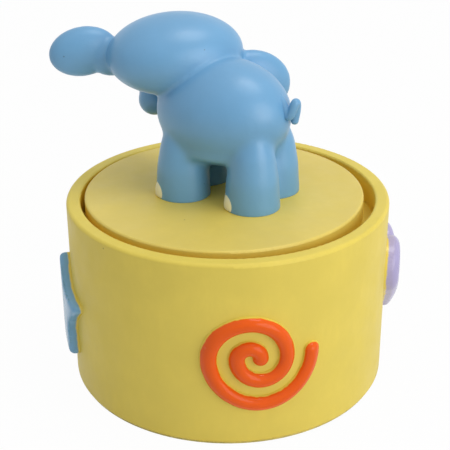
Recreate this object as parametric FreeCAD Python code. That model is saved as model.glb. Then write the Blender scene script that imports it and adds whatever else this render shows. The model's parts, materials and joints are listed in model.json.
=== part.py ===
import FreeCAD, Part
import os
from math import cos, degrees, pi, radians, sin, sqrt, tan

V = FreeCAD.Vector
X_AXIS = V(1, 0, 0)
Y_AXIS = V(0, 1, 0)
Z_AXIS = V(0, 0, 1)

# The origin lies on the table, on the drum's axis. -Y is the front. Millimetres and degrees.

# Drum
DRUM_RADIUS = 54.0
DRUM_WALL = 5.5
DRUM_HEIGHT = 64.0
RIM_WIDTH = 4.7
RIM_ROUND = 1.2
RIM_INNER_ROUND = 0.8
FOOT_ROUND = 0.8
RECESS_DEPTH = 9.0
DECK_THICKNESS = 4.0
FELT_THICKNESS = 0.8
FELT_INSET = 0.8

# Fits
RUNNING_CLEARANCE = 0.05
END_PLAY = 0.1
SIDE_PLAY = 0.4
SEAT_CLEARANCE = 0.3
SCREW_CLEARANCE = 0.2

# Base plate and its bosses
KEY_RECESS_DEPTH = 14.0
BASE_PLATE_THICKNESS = 3.0
BOSS_RADIUS = 4.2
BOSS_INSET = 4.5
BOSS_ANGLES = (60.0, 180.0, 300.0)
BASE_SCREW_RADIUS = 1.5
BASE_SCREW_LENGTH = 11.0
SOUND_HOLE_RADIUS = 2.2
SOUND_HOLE_INSET = 17.5
SOUND_HOLE_ANGLES = (90.0, 108.0, 126.0, 234.0, 252.0, 270.0)

# Screw heads, as multiples of the shank's radius
HEAD_WIDTH = 1.9
HEAD_HEIGHT = 1.1
SLOT_WIDTH = 0.45
SLOT_DEPTH = 0.5

# Revolving disc and its spindle
SPINDLE_X = -1.2
DISC_GAP = 2.6
DISC_RISE = 0.8
DISC_EDGE_ROUND = 0.8
DISC_FOOT_ROUND = 0.6
WASHER_THICKNESS = 1.4
WASHER_RADIUS = 12.0
SPINDLE_RADIUS = 2.5
SPINDLE_FLANGE_RADIUS = 5.0
SPINDLE_FLANGE_THICKNESS = 1.2
SPINDLE_RIVET_RADIUS = 2.0
INSERT_RADIUS = 4.5
INSERT_LENGTH = 6.0
INSERT_END_GAP = 0.5
BUSH_WALL = 2.5
BUSH_FLANGE_RADIUS = 7.5
BUSH_FLANGE_THICKNESS = 1.5

# Winding key, arbor and ratchet
ARBOR_RADIUS = 2.0
KEY_GROUND_GAP = 2.0
KEY_WING_RADIUS = 4.6
KEY_WING_SPREAD = 8.4
KEY_EYE_RADIUS = 2.4
KEY_THICKNESS = 2.2
KEY_HUB_RADIUS = 3.6
KEY_HUB_TOP = 12.0
KEY_HOLE_RADIUS = 4.2
RATCHET_TEETH = 16
RATCHET_TIP_RADIUS = 6.5
RATCHET_ROOT_RADIUS = 5.3
RATCHET_THICKNESS = 1.3
RATCHET_LIFT = 0.4
CLICK_WIDTH = 1.2
CLICK_THICKNESS = 0.8
CLICK_GAP = 0.12
CLICK_TIP_RADIUS = 5.75
CLICK_SLOPE = 16.3
CLICK_REACH = 18.0
CLICK_FOOT_RADIUS = 2.6
CLICK_SCREW_RADIUS = 1.0
CLICK_SCREW_LENGTH = 3.0

# Spring barrel
BARREL_RADIUS = 12.8
BARREL_WALL = 1.0
BARREL_FLOOR = 1.2
BARREL_HEIGHT = 14.0
BARREL_LIFT = 0.4
CAP_THICKNESS = 1.2
ARBOR_TOP_GAP = 0.8
CROWN_FLANGE_THICKNESS = 2.0
CROWN_FACE = 2.2
SPRING_THICKNESS = 0.45
SPRING_TURNS = 5
SPRING_GAP = 0.6

# Gears: tooth counts and modules, with slim teeth that leave room to run
TOOTH_ADDENDUM = 0.85
TOOTH_DEDENDUM = 1.1
TOOTH_TIP_SHARE = 0.11
TOOTH_ROOT_SHARE = 0.27
CROWN_MODULE = 0.65
CROWN_TEETH = 48
CROWN_PRESSURE_ANGLE = 20.0
CROWN_TOOTH_SHARE = 0.18
PINION_TEETH = 16
PINION_FACE = 1.6
SPUR_MODULE = 0.5
CYLINDER_WHEEL_TEETH = 40
IDLER_PINION_TEETH = 16
SPUR_FACE = 1.5
WORM_MODULE = 0.6
IDLER_WHEEL_TEETH = 18
IDLER_WHEEL_FACE = 1.6
WORM_PITCH_RADIUS = 2.0
WORM_HALF_TURNS = 9
WORM_TIP_SHARE = 0.07
WORM_ROOT_SHARE = 0.23
WORM_SINK = 0.2

# Pinned cylinder and comb
CYLINDER_RADIUS = 6.6
CYLINDER_ARBOR_RADIUS = 1.2
PIN_RADIUS = 0.25
PIN_HEIGHT = 0.7
PIN_SINK = 0.4
PINS_PER_TRACK = 3
PIN_STEPS = 24
PIN_STRIDE = 7
COMB_PITCH = 1.04
COMB_END_GAP = 0.4
COMB_SLOT = 0.34
COMB_THICKNESS = 1.0
COMB_TOOTH_LENGTH = 12.0
COMB_BASE_DEPTH = 6.8
COMB_TIP_GAP = 0.12
COMB_SCREW_RADIUS = 1.2
COMB_SCREW_LENGTH = 6.0
COMB_SCREW_SPREAD = 5.5

# Bedplate, bearings and brackets
BED_THICKNESS = 2.5
BED_LEFT = -21.0
BED_HALF_WIDTH = 20.0
BED_WING_START = 17.0
BED_WALL_GAP = 1.0
TRAIN_WALL_GAP = 1.7
BED_SCREW_RADIUS = 1.4
BED_SCREW_X = -12.0
BED_SCREW_Y = 16.0
POST_THICKNESS = 2.0
POST_HALF_WIDTH = 4.5
POST_TOP_WALL = 3.5
POST_CROWN_GAP = 0.5
FOOT_THICKNESS = 1.2
FOOT_LENGTH = 7.0
FOOT_SCREW_RADIUS = 1.0
FOOT_SCREW_LENGTH = 3.4
IDLER_ARBOR_RADIUS = 1.0
IDLER_ARBOR_REACH = 5.0
BRACKET_EDGE = 4.0

# Governor
WORM_SHAFT_RADIUS = 0.9
GOVERNOR_PIVOT_RADIUS = 0.6
GOVERNOR_ARM_THICKNESS = 1.6
GOVERNOR_WALL = 1.5
GOVERNOR_WALL_GAP = 0.6
GOVERNOR_HALF_WIDTH = 3.5
GOVERNOR_ARM_REACH = 2.8
FAN_RADIUS = 3.2
FAN_HEIGHT = 4.0
FAN_THICKNESS = 0.6
FAN_HUB_RADIUS = 1.4
FAN_GAP = 0.8

# Raised shapes round the side: angle from the front (right is positive), height of the middle, relief
SWIRL_ANGLE = 13.0
SWIRL_MIDDLE = 29.8
SWIRL_RELIEF = 2.6
SWIRL_STROKE = 5.2
SWIRL_INNER_RADIUS = 3.7
SWIRL_STEP = 4.2
SWIRL_HALF_TURNS = 4
STAR_ANGLE = -81.0
STAR_MIDDLE = 27.4
STAR_RELIEF = 3.5
STAR_RADIUS = 20.0
STAR_WAIST = 10.5
STAR_POINTS = 5
STAR_TURN = 90.0
STAR_TIP_ROUND = 2.0
HEART_ANGLE = 95.0
HEART_MIDDLE = 30.8
HEART_RELIEF = 5.0
HEART_LOBE_RADIUS = 9.8
FLOWER_ANGLE = 190.0
FLOWER_MIDDLE = 30.8
FLOWER_RELIEF = 3.0
FLOWER_PETALS = 6
FLOWER_PETAL_RADIUS = 6.6
FLOWER_PETAL_REACH = 10.5
FLOWER_MIDDLE_RADIUS = 6.0

# Elephant: places are from the spindle's axis and the disc's top
BODY_YAW = 153.6
BODY_MIDDLE = 27.8
BODY_HALF_LENGTH = 23.0
BODY_RADIUS = 17.9
FLANK_HALF_LENGTH = 18.5
FLANK_HALF_WIDTH = 15.3
FLANK_BOTTOM = 14.4
FLANK_TOP = 22.0
FLANK_ROUND = 2.5
FRONT_LEG_FORWARD = 11.2
HIND_LEG_BACK = 14.2
LEG_SIDE = 7.9
FOOT_RADIUS = 8.7
FOOT_EDGE_ROUND = 0.9
LEG_RADIUS = 8.0
LEG_FLARE_HEIGHT = 10.0
THIGH_HEIGHT = 18.0
THIGH_RADIUS = 6.6
LEG_TOP = 24.0
SHOULDER_RADIUS = 4.8
NAIL_ANGLES = (-46.0, 0.0, 46.0)
NAIL_BOTTOM = 0.3
NAIL_MIDDLE = 1.2
NAIL_HALF_DEPTH = 2.2
NAIL_HALF_WIDTH = 3.7
NAIL_HALF_HEIGHT = 4.9
NAIL_SINK = 1.8
HEAD_X = -15.5
HEAD_Y = 9.0
HEAD_MIDDLE = 44.6
HEAD_YAW = 108.0
HEAD_HALF_DEPTH = 16.0
HEAD_HALF_WIDTH = 22.7
HEAD_HALF_HEIGHT = 13.4
EAR_HALF_THICKNESS = 5.0
LEFT_EAR_SIDE = -30.2
LEFT_EAR_BACK = 0.8
LEFT_EAR_RISE = 0.6
LEFT_EAR_HALF_LENGTH = 11.4
LEFT_EAR_HALF_HEIGHT = 8.2
LEFT_EAR_YAW = 100.0
LEFT_EAR_TILT = -8.9
RIGHT_EAR_SIDE = 25.9
RIGHT_EAR_BACK = 6.0
RIGHT_EAR_RISE = -11.4
RIGHT_EAR_HALF_LENGTH = 13.2
RIGHT_EAR_HALF_HEIGHT = 10.5
RIGHT_EAR_YAW = 108.0
RIGHT_EAR_TILT = 20.4
TRUNK_ROOT_FORWARD = 12.0
TRUNK_ROOT_RISE = -1.0
TRUNK_KNEE_FORWARD = 20.8
TRUNK_KNEE_SIDE = -0.3
TRUNK_KNEE_RISE = -12.5
TRUNK_TIP_FORWARD = 19.8
TRUNK_TIP_SIDE = 2.7
TRUNK_TIP_RISE = -21.6
TRUNK_RADIUS = 5.6
EYE_RADIUS = 1.6
EYE_SIDE = 9.4
EYE_RISE = 5.6
EYE_SINK = 0.35
TAIL_ROOT_RADIUS = 1.9
TAIL_RADIUS = 1.6
TAIL_TIP_RADIUS = 1.8
TAIL_REACH = 25.2
TAIL_RISE = 35.0
TAIL_DROP = 6.8
TAIL_ROOT_SINK = 4.0

# Heights and places that follow from the sizes above
rim_inner_radius = DRUM_RADIUS - RIM_WIDTH
cavity_radius = DRUM_RADIUS - DRUM_WALL
boss_circle = cavity_radius - BOSS_INSET
sound_hole_circle = cavity_radius - SOUND_HOLE_INSET
disc_radius = rim_inner_radius - DISC_GAP
deck_top = DRUM_HEIGHT - RECESS_DEPTH
deck_bottom = deck_top - DECK_THICKNESS
plate_top = KEY_RECESS_DEPTH + BASE_PLATE_THICKNESS
bed_top = plate_top + BED_THICKNESS
ratchet_bottom = bed_top + RATCHET_LIFT
ratchet_top = ratchet_bottom + RATCHET_THICKNESS
barrel_bottom = ratchet_top + BARREL_LIFT
crown_root = barrel_bottom + CROWN_FLANGE_THICKNESS
crown_pitch_radius = CROWN_MODULE * CROWN_TEETH / 2
crown_pitch_height = crown_root + TOOTH_DEDENDUM * CROWN_MODULE
crown_tip = crown_pitch_height + TOOTH_ADDENDUM * CROWN_MODULE
crown_outer_radius = crown_pitch_radius + CROWN_FACE / 2
barrel_top = barrel_bottom + BARREL_HEIGHT
cap_top = barrel_top + CAP_THICKNESS
arbor_top = barrel_top - ARBOR_TOP_GAP
train_height = crown_pitch_height + CROWN_MODULE * PINION_TEETH / 2
disc_bottom = deck_top + WASHER_THICKNESS + END_PLAY
disc_top = DRUM_HEIGHT + DISC_RISE
insert_top = disc_bottom + INSERT_LENGTH
spindle_top = insert_top - INSERT_END_GAP
pinion_start = crown_pitch_radius - PINION_FACE / 2
post_start = crown_outer_radius + POST_CROWN_GAP
cylinder_start = post_start + POST_THICKNESS + SIDE_PLAY
idler_y = SPUR_MODULE * (CYLINDER_WHEEL_TEETH + IDLER_PINION_TEETH) / 2
idler_back = idler_y + SPUR_MODULE * (IDLER_PINION_TEETH / 2 + TOOTH_ADDENDUM)
spur_end = sqrt((cavity_radius - TRAIN_WALL_GAP) ** 2 - idler_back ** 2) - SPINDLE_X
spur_start = spur_end - SPUR_FACE
bracket_end = spur_start - SIDE_PLAY
bracket_start = bracket_end - POST_THICKNESS
cylinder_end = bracket_start - SIDE_PLAY
cylinder_middle = (cylinder_start + cylinder_end) / 2
idler_wheel_end = bracket_start - IDLER_ARBOR_REACH + IDLER_WHEEL_FACE
idler_wheel_start = bracket_start - IDLER_ARBOR_REACH
worm_x = (idler_wheel_start + idler_wheel_end) / 2
worm_y = idler_y + WORM_MODULE * IDLER_WHEEL_TEETH / 2 + WORM_PITCH_RADIUS
worm_lead = pi * WORM_MODULE
worm_bottom = train_height - WORM_HALF_TURNS / 4 * worm_lead
worm_top = train_height + WORM_HALF_TURNS / 4 * worm_lead
fan_bottom = worm_top + worm_lead / 2
fan_top = fan_bottom + FAN_HEIGHT
governor_arm_bottom = fan_top + FAN_GAP
governor_top = governor_arm_bottom + GOVERNOR_ARM_THICKNESS
governor_wall_y = worm_y + FAN_RADIUS + GOVERNOR_WALL_GAP
governor_back = governor_wall_y + GOVERNOR_WALL
comb_teeth = int((cylinder_end - cylinder_start - 2 * COMB_END_GAP) / COMB_PITCH)
comb_start = cylinder_middle - comb_teeth * COMB_PITCH / 2
comb_end = comb_start + comb_teeth * COMB_PITCH
comb_tip_y = -(CYLINDER_RADIUS + PIN_HEIGHT + COMB_TIP_GAP)
comb_root_y = comb_tip_y - COMB_TOOTH_LENGTH
comb_back_y = comb_root_y - COMB_BASE_DEPTH
comb_bottom = train_height - COMB_THICKNESS / 2
comb_top = train_height + COMB_THICKNESS / 2
comb_screw_xs = (comb_start + COMB_SCREW_SPREAD, comb_end - COMB_SCREW_SPREAD)
comb_screw_y = comb_root_y - COMB_BASE_DEPTH / 2
foot_screw_xs = (cylinder_start + FOOT_LENGTH / 2, bracket_start - FOOT_LENGTH / 2)
foot_top = bed_top + FOOT_THICKNESS
click_top = ratchet_bottom + CLICK_THICKNESS
click_tip = V(-CLICK_GAP, -CLICK_TIP_RADIUS, 0)
click_back = V(-cos(radians(CLICK_SLOPE)), -sin(radians(CLICK_SLOPE)), 0)
click_out = V(-click_back.y, click_back.x, 0)
click_screw_at = click_tip + click_back * CLICK_REACH + click_out * (CLICK_WIDTH / 2)
head_place = V(HEAD_X, HEAD_Y, disc_top + HEAD_MIDDLE)
left_ear_place = head_place + V(LEFT_EAR_SIDE, LEFT_EAR_BACK, LEFT_EAR_RISE)
right_ear_place = head_place + V(RIGHT_EAR_SIDE, RIGHT_EAR_BACK, RIGHT_EAR_RISE)
trunk_root = V(TRUNK_ROOT_FORWARD, 0, TRUNK_ROOT_RISE)
trunk_knee = V(TRUNK_KNEE_FORWARD, TRUNK_KNEE_SIDE, TRUNK_KNEE_RISE)
trunk_tip = V(TRUNK_TIP_FORWARD, TRUNK_TIP_SIDE, TRUNK_TIP_RISE)
TINY = 1e-6


# Shape helpers
def cylinder(radius, bottom, top, x=0.0, y=0.0):
    return Part.makeCylinder(radius, top - bottom, V(x, y, bottom))


def ring(outer, inner, bottom, top):
    return cylinder(outer, bottom, top).cut(cylinder(inner, bottom, top))


def block(x0, x1, y0, y1, z0, z1):
    return Part.makeBox(x1 - x0, y1 - y0, z1 - z0, V(x0, y0, z0))


def rod(radius, start, end, y, z):
    """A round bar along X."""
    return Part.makeCylinder(radius, end - start, V(start, y, z), X_AXIS)


def polar(radius, angle):
    return V(radius * cos(radians(angle)), radius * sin(radians(angle)), 0)


def prism(points, height):
    """An upright prism on a closed outline of corner points."""
    return Part.Face(Part.makePolygon(points + points[:1])).extrude(V(0, 0, height))


def ellipsoid(half_x, half_y, half_z):
    stretch = FreeCAD.Matrix()
    stretch.scale(1.0, half_y / half_x, half_z / half_x)
    return Part.makeSphere(half_x).transformGeometry(stretch)


def turned(shape, axis, angle):
    shape = shape.copy()
    shape.rotate(V(), axis, angle)
    return shape


def moved(shape, place):
    shape = shape.copy()
    shape.translate(place)
    return shape


def circle_edges(shape, radius, height):
    """The round edges of that radius at that height."""
    found = []
    for edge in shape.Edges:
        if isinstance(edge.Curve, Part.Circle):
            same_radius = abs(edge.Curve.Radius - radius) < TINY
            if same_radius and abs(edge.Curve.Center.z - height) < TINY:
                found.append(edge)
    return found


def screw(shank_radius, length, place, up):
    """A slotted cheese-head screw. Its head seats at place, and its shank points up or down."""
    head_height = HEAD_HEIGHT * shank_radius
    head = cylinder(HEAD_WIDTH * shank_radius, -head_height, 0)
    half_slot = SLOT_WIDTH * shank_radius / 2
    reach = HEAD_WIDTH * shank_radius
    slot_top = -head_height + SLOT_DEPTH * head_height
    slot = block(-reach, reach, -half_slot, half_slot, -head_height, slot_top)
    made = head.cut(slot).fuse(cylinder(shank_radius, 0, length)).removeSplitter()
    if not up:
        made = turned(made, X_AXIS, 180)
    return moved(made, place)


# Gears
def gear(teeth, module, face, bore, tooth_at):
    """A spur gear on Z from 0 to face, with one tooth's middle at the angle tooth_at."""
    pitch_radius = module * teeth / 2
    tip = pitch_radius + TOOTH_ADDENDUM * module
    root = pitch_radius - TOOTH_DEDENDUM * module
    step = 360 / teeth
    corners = []
    for tooth in range(teeth):
        middle = tooth_at + tooth * step
        corners.append(polar(root, middle - TOOTH_ROOT_SHARE * step))
        corners.append(polar(tip, middle - TOOTH_TIP_SHARE * step))
        corners.append(polar(tip, middle + TOOTH_TIP_SHARE * step))
        corners.append(polar(root, middle + TOOTH_ROOT_SHARE * step))
    return prism(corners, face).cut(cylinder(bore, 0, face))


def gear_on_x(teeth, module, face, bore, tooth_at, start, y):
    """A spur gear on a shaft along X. The angle 0 points down and 90 points to +Y."""
    return moved(turned(gear(teeth, module, face, bore, tooth_at), Y_AXIS, 90), V(start, y, train_height))


def crown_tooth():
    """One radial tooth of the crown gear, pointing up, along +X."""
    half_pitch = CROWN_TOOTH_SHARE * pi * CROWN_MODULE
    lean = tan(radians(CROWN_PRESSURE_ANGLE))
    half_tip = half_pitch - lean * (crown_tip - crown_pitch_height)
    half_root = half_pitch + lean * (crown_pitch_height - crown_root)
    inner = crown_pitch_radius - CROWN_FACE / 2
    corners = [
        V(inner, -half_root, crown_root),
        V(inner, half_root, crown_root),
        V(inner, half_tip, crown_tip),
        V(inner, -half_tip, crown_tip),
    ]
    return Part.Face(Part.makePolygon(corners + corners[:1])).extrude(V(CROWN_FACE, 0, 0))


# Drum and base
def drum_casing():
    shell = cylinder(DRUM_RADIUS, FELT_THICKNESS, DRUM_HEIGHT)
    shell = shell.cut(cylinder(rim_inner_radius, deck_top, DRUM_HEIGHT))
    shell = shell.cut(cylinder(cavity_radius, FELT_THICKNESS, deck_bottom))
    shell = shell.makeFillet(RIM_ROUND, circle_edges(shell, DRUM_RADIUS, DRUM_HEIGHT))
    shell = shell.makeFillet(RIM_INNER_ROUND, circle_edges(shell, rim_inner_radius, DRUM_HEIGHT))
    shell = shell.makeFillet(FOOT_ROUND, circle_edges(shell, DRUM_RADIUS, FELT_THICKNESS))
    for angle in BOSS_ANGLES:
        at = polar(boss_circle, angle)
        boss = cylinder(BOSS_RADIUS, plate_top, deck_bottom, at.x, at.y)
        shell = shell.fuse(boss.common(cylinder(DRUM_RADIUS - DRUM_WALL / 2, plate_top, deck_bottom)))
        pilot_top = KEY_RECESS_DEPTH + BASE_SCREW_LENGTH
        shell = shell.cut(cylinder(BASE_SCREW_RADIUS, plate_top, pilot_top, at.x, at.y))
    bush_hole = cylinder(SPINDLE_RADIUS + BUSH_WALL, deck_bottom, deck_top, SPINDLE_X)
    return shell.cut(bush_hole).removeSplitter()


def felt_ring():
    return ring(DRUM_RADIUS - FELT_INSET, cavity_radius + FELT_INSET, 0, FELT_THICKNESS)


def base_plate():
    plate = cylinder(cavity_radius - SEAT_CLEARANCE, KEY_RECESS_DEPTH, plate_top)
    holes = [cylinder(KEY_HOLE_RADIUS, KEY_RECESS_DEPTH, plate_top, SPINDLE_X)]
    for angle in BOSS_ANGLES:
        at = polar(boss_circle, angle)
        radius = BASE_SCREW_RADIUS + SCREW_CLEARANCE
        holes.append(cylinder(radius, KEY_RECESS_DEPTH, plate_top, at.x, at.y))
    for at in bed_screw_places():
        radius = BED_SCREW_RADIUS + SCREW_CLEARANCE
        holes.append(cylinder(radius, KEY_RECESS_DEPTH, plate_top, at.x + SPINDLE_X, at.y))
    for angle in SOUND_HOLE_ANGLES:
        at = polar(sound_hole_circle, angle)
        holes.append(cylinder(SOUND_HOLE_RADIUS, KEY_RECESS_DEPTH, plate_top, at.x, at.y))
    return plate.cut(holes)


def base_plate_screws():
    screws = []
    for angle in BOSS_ANGLES:
        at = polar(boss_circle, angle)
        screws.append(screw(BASE_SCREW_RADIUS, BASE_SCREW_LENGTH, at + V(0, 0, KEY_RECESS_DEPTH), True))
    return Part.makeCompound(screws)


# Raised shapes: an outline in XZ is pushed out through the drum's skin at the front, then turned
def relief(faces, proud, angle, middle):
    skin = ring(DRUM_RADIUS + proud, DRUM_RADIUS, FELT_THICKNESS, DRUM_HEIGHT)
    solids = [moved(face, V(0, 0, middle)).extrude(V(0, -2 * DRUM_RADIUS, 0)) for face in faces]
    pushed = solids[0].fuse(solids[1:]).removeSplitter() if len(solids) > 1 else solids[0]
    return turned(pushed.common(skin).removeSplitter(), Z_AXIS, angle)


def upright_disc(radius, x=0.0, z=0.0):
    circle = Part.makeCircle(radius, V(x, 0, z), Y_AXIS)
    return Part.Face(Part.Wire(circle))


def upright_face(points):
    return Part.Face(Part.makePolygon(points + points[:1]))


def relief_swirl():
    """A stroke of growing half rings, whose middles change sides at each half turn."""
    half = SWIRL_STROKE / 2
    left = (SWIRL_HALF_TURNS - 1) * SWIRL_STEP / 2
    wide = DRUM_RADIUS
    faces = [upright_disc(half, SWIRL_INNER_RADIUS - left)]
    radius = SWIRL_INNER_RADIUS
    for turn in range(SWIRL_HALF_TURNS):
        middle = (turn % 2) * SWIRL_STEP - left
        band = upright_disc(radius + half, middle).cut(upright_disc(radius - half, middle))
        side = 1 if turn % 2 == 0 else -1
        corners = [V(-wide, 0, 0), V(wide, 0, 0), V(wide, 0, side * wide), V(-wide, 0, side * wide)]
        faces += band.common(upright_face(corners)).Faces
        end = middle - side * radius
        radius += SWIRL_STEP
    faces.append(upright_disc(half, end))
    return relief(faces, SWIRL_RELIEF, SWIRL_ANGLE, SWIRL_MIDDLE + SWIRL_STEP / 2)


def relief_star():
    corners = []
    for corner in range(2 * STAR_POINTS):
        radius = STAR_RADIUS if corner % 2 == 0 else STAR_WAIST
        flat = polar(radius, STAR_TURN + 180 / STAR_POINTS * corner)
        corners.append(V(flat.x, 0, flat.y))
    body = upright_face(corners).extrude(V(0, -1, 0))
    upright = [edge for edge in body.Edges if abs(edge.tangentAt(edge.FirstParameter).y) > 1 - TINY]
    rounded = body.makeFillet(STAR_TIP_ROUND, upright)
    back = [face for face in rounded.Faces if abs(face.CenterOfMass.y) < TINY]
    return relief(back, STAR_RELIEF, STAR_ANGLE, STAR_MIDDLE)


def relief_heart():
    """A square on its corner with a round lobe on each upper side."""
    corner = sqrt(2) * HEART_LOBE_RADIUS
    lobe = corner / 2
    faces = [upright_face([V(0, 0, -corner), V(corner, 0, 0), V(0, 0, corner), V(-corner, 0, 0)])]
    faces += [upright_disc(HEART_LOBE_RADIUS, side * lobe, lobe) for side in (-1, 1)]
    return relief(faces, HEART_RELIEF, HEART_ANGLE, HEART_MIDDLE)


def relief_flower():
    faces = [upright_disc(FLOWER_MIDDLE_RADIUS)]
    for petal in range(FLOWER_PETALS):
        at = polar(FLOWER_PETAL_REACH, 90 + 360 / FLOWER_PETALS * petal)
        faces.append(upright_disc(FLOWER_PETAL_RADIUS, at.x, at.y))
    return relief(faces, FLOWER_RELIEF, FLOWER_ANGLE, FLOWER_MIDDLE)


# Revolving disc and what turns with it
def turntable_disc():
    disc = cylinder(disc_radius, disc_bottom, disc_top)
    disc = disc.makeFillet(DISC_EDGE_ROUND, circle_edges(disc, disc_radius, disc_top))
    disc = disc.makeFillet(DISC_FOOT_ROUND, circle_edges(disc, disc_radius, disc_bottom))
    return disc.cut(cylinder(INSERT_RADIUS, disc_bottom, insert_top))


def threaded_insert():
    insert = cylinder(INSERT_RADIUS, disc_bottom, insert_top)
    return insert.cut(cylinder(SPINDLE_RADIUS, disc_bottom, spindle_top))


def spindle():
    shaft = cylinder(SPINDLE_RADIUS, cap_top, spindle_top)
    flange = cylinder(SPINDLE_FLANGE_RADIUS, cap_top, cap_top + SPINDLE_FLANGE_THICKNESS)
    rivet = cylinder(SPINDLE_RIVET_RADIUS, barrel_top, cap_top)
    return shaft.fuse([flange, rivet]).removeSplitter()


def spindle_bush():
    outer = cylinder(SPINDLE_RADIUS + BUSH_WALL, deck_bottom, deck_top)
    flange = cylinder(BUSH_FLANGE_RADIUS, deck_bottom - BUSH_FLANGE_THICKNESS, deck_bottom)
    bore = cylinder(SPINDLE_RADIUS + RUNNING_CLEARANCE, deck_bottom - BUSH_FLANGE_THICKNESS, deck_top)
    return outer.fuse(flange).cut(bore).removeSplitter()


def thrust_washer():
    return ring(WASHER_RADIUS, SPINDLE_RADIUS + SEAT_CLEARANCE, deck_top, deck_top + WASHER_THICKNESS)


def spring_barrel():
    drum = cylinder(BARREL_RADIUS, barrel_bottom, barrel_top)
    flange = cylinder(crown_outer_radius, barrel_bottom, crown_root)
    tooth = crown_tooth()
    step = 360 / CROWN_TEETH
    teeth = [turned(tooth, Z_AXIS, step * (number + 0.5)) for number in range(CROWN_TEETH)]
    barrel = flange.fuse([drum] + teeth)
    barrel = barrel.cut(cylinder(BARREL_RADIUS - BARREL_WALL, barrel_bottom + BARREL_FLOOR, barrel_top))
    return barrel.cut(cylinder(ARBOR_RADIUS + RUNNING_CLEARANCE, barrel_bottom, barrel_top)).removeSplitter()


def barrel_cap():
    return ring(BARREL_RADIUS, SPINDLE_RIVET_RADIUS, barrel_top, cap_top)


def mainspring():
    """A flat strip wound between the arbor and the barrel's wall."""
    inner = ARBOR_RADIUS + SPRING_GAP
    outer = BARREL_RADIUS - BARREL_WALL - SPRING_GAP - SPRING_THICKNESS
    step = (outer - inner) / (2 * SPRING_TURNS)
    bottom = barrel_bottom + BARREL_FLOOR + SPRING_GAP
    sides = []
    for offset in (0.0, SPRING_THICKNESS):
        arcs = []
        for half in range(2 * SPRING_TURNS):
            radius = inner + offset + step * (half + 0.5)
            middle = V(-step / 2 * (-1) ** half, 0, bottom)
            turn = 180 * (half % 2)
            ends = (middle + polar(radius, turn), middle + polar(radius, turn + 180))
            top = middle + polar(radius, turn + 90)
            arcs.append(Part.Arc(ends[0], top, ends[1]).toShape())
        sides.append(arcs)
    start = Part.makeLine(sides[0][0].Vertexes[0].Point, sides[1][0].Vertexes[0].Point)
    end = Part.makeLine(sides[0][-1].Vertexes[-1].Point, sides[1][-1].Vertexes[-1].Point)
    outline = Part.Wire(Part.__sortEdges__(sides[0] + [end] + sides[1] + [start]))
    return Part.Face(outline).extrude(V(0, 0, arbor_top - bottom))


# Winding key, arbor and click
def key_middle():
    return KEY_GROUND_GAP + KEY_WING_RADIUS


def winding_arbor():
    return cylinder(ARBOR_RADIUS, key_middle(), arbor_top)


def winding_key():
    """Two round wings with eyes on a hub that is screwed onto the arbor."""
    middle = key_middle()
    web = upright_face([
        V(-KEY_WING_SPREAD, 0, middle - KEY_WING_RADIUS),
        V(KEY_WING_SPREAD, 0, middle - KEY_WING_RADIUS),
        V(KEY_WING_SPREAD, 0, middle + KEY_WING_RADIUS),
        V(-KEY_WING_SPREAD, 0, middle + KEY_WING_RADIUS),
    ])
    wings = [upright_disc(KEY_WING_RADIUS, side * KEY_WING_SPREAD, middle) for side in (-1, 1)]
    eyes = [upright_disc(KEY_EYE_RADIUS, side * KEY_WING_SPREAD, middle) for side in (-1, 1)]
    bow = web.fuse(wings).cut(eyes).removeSplitter().extrude(V(0, KEY_THICKNESS, 0))
    hub = cylinder(KEY_HUB_RADIUS, middle - KEY_WING_RADIUS, KEY_HUB_TOP)
    key = moved(bow, V(0, -KEY_THICKNESS / 2, 0)).fuse(hub)
    return key.cut(cylinder(ARBOR_RADIUS, middle, KEY_HUB_TOP)).removeSplitter()


def ratchet_wheel():
    """Saw teeth with radial faces that hold against the click and slopes that lift it."""
    step = 360 / RATCHET_TEETH
    corners = []
    for tooth in range(RATCHET_TEETH):
        corners.append(polar(RATCHET_ROOT_RADIUS, step * tooth - 90))
        corners.append(polar(RATCHET_TIP_RADIUS, step * tooth - 90))
    wheel = moved(prism(corners, RATCHET_THICKNESS), V(0, 0, ratchet_bottom))
    return wheel.cut(cylinder(ARBOR_RADIUS, ratchet_bottom, ratchet_top))


def click_spring():
    far = click_tip + click_back * CLICK_REACH
    corner = click_tip - V(0, CLICK_WIDTH / cos(radians(CLICK_SLOPE)), 0)
    outline = [click_tip, far, far + click_out * CLICK_WIDTH, corner]
    arm = moved(prism(outline, CLICK_THICKNESS), V(0, 0, ratchet_bottom))
    foot = cylinder(CLICK_FOOT_RADIUS, bed_top, click_top, click_screw_at.x, click_screw_at.y)
    hole = cylinder(CLICK_SCREW_RADIUS, bed_top, click_top, click_screw_at.x, click_screw_at.y)
    return arm.fuse(foot).cut(hole).removeSplitter()


def click_screw():
    return screw(CLICK_SCREW_RADIUS, CLICK_SCREW_LENGTH, click_screw_at + V(0, 0, click_top), False)


# Bedplate and what stands on it
def bed_screw_places():
    return [
        V(BED_SCREW_X, BED_SCREW_Y, KEY_RECESS_DEPTH),
        V(BED_SCREW_X, -BED_SCREW_Y, KEY_RECESS_DEPTH),
        V(cylinder_middle, 0, KEY_RECESS_DEPTH),
    ]


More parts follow.
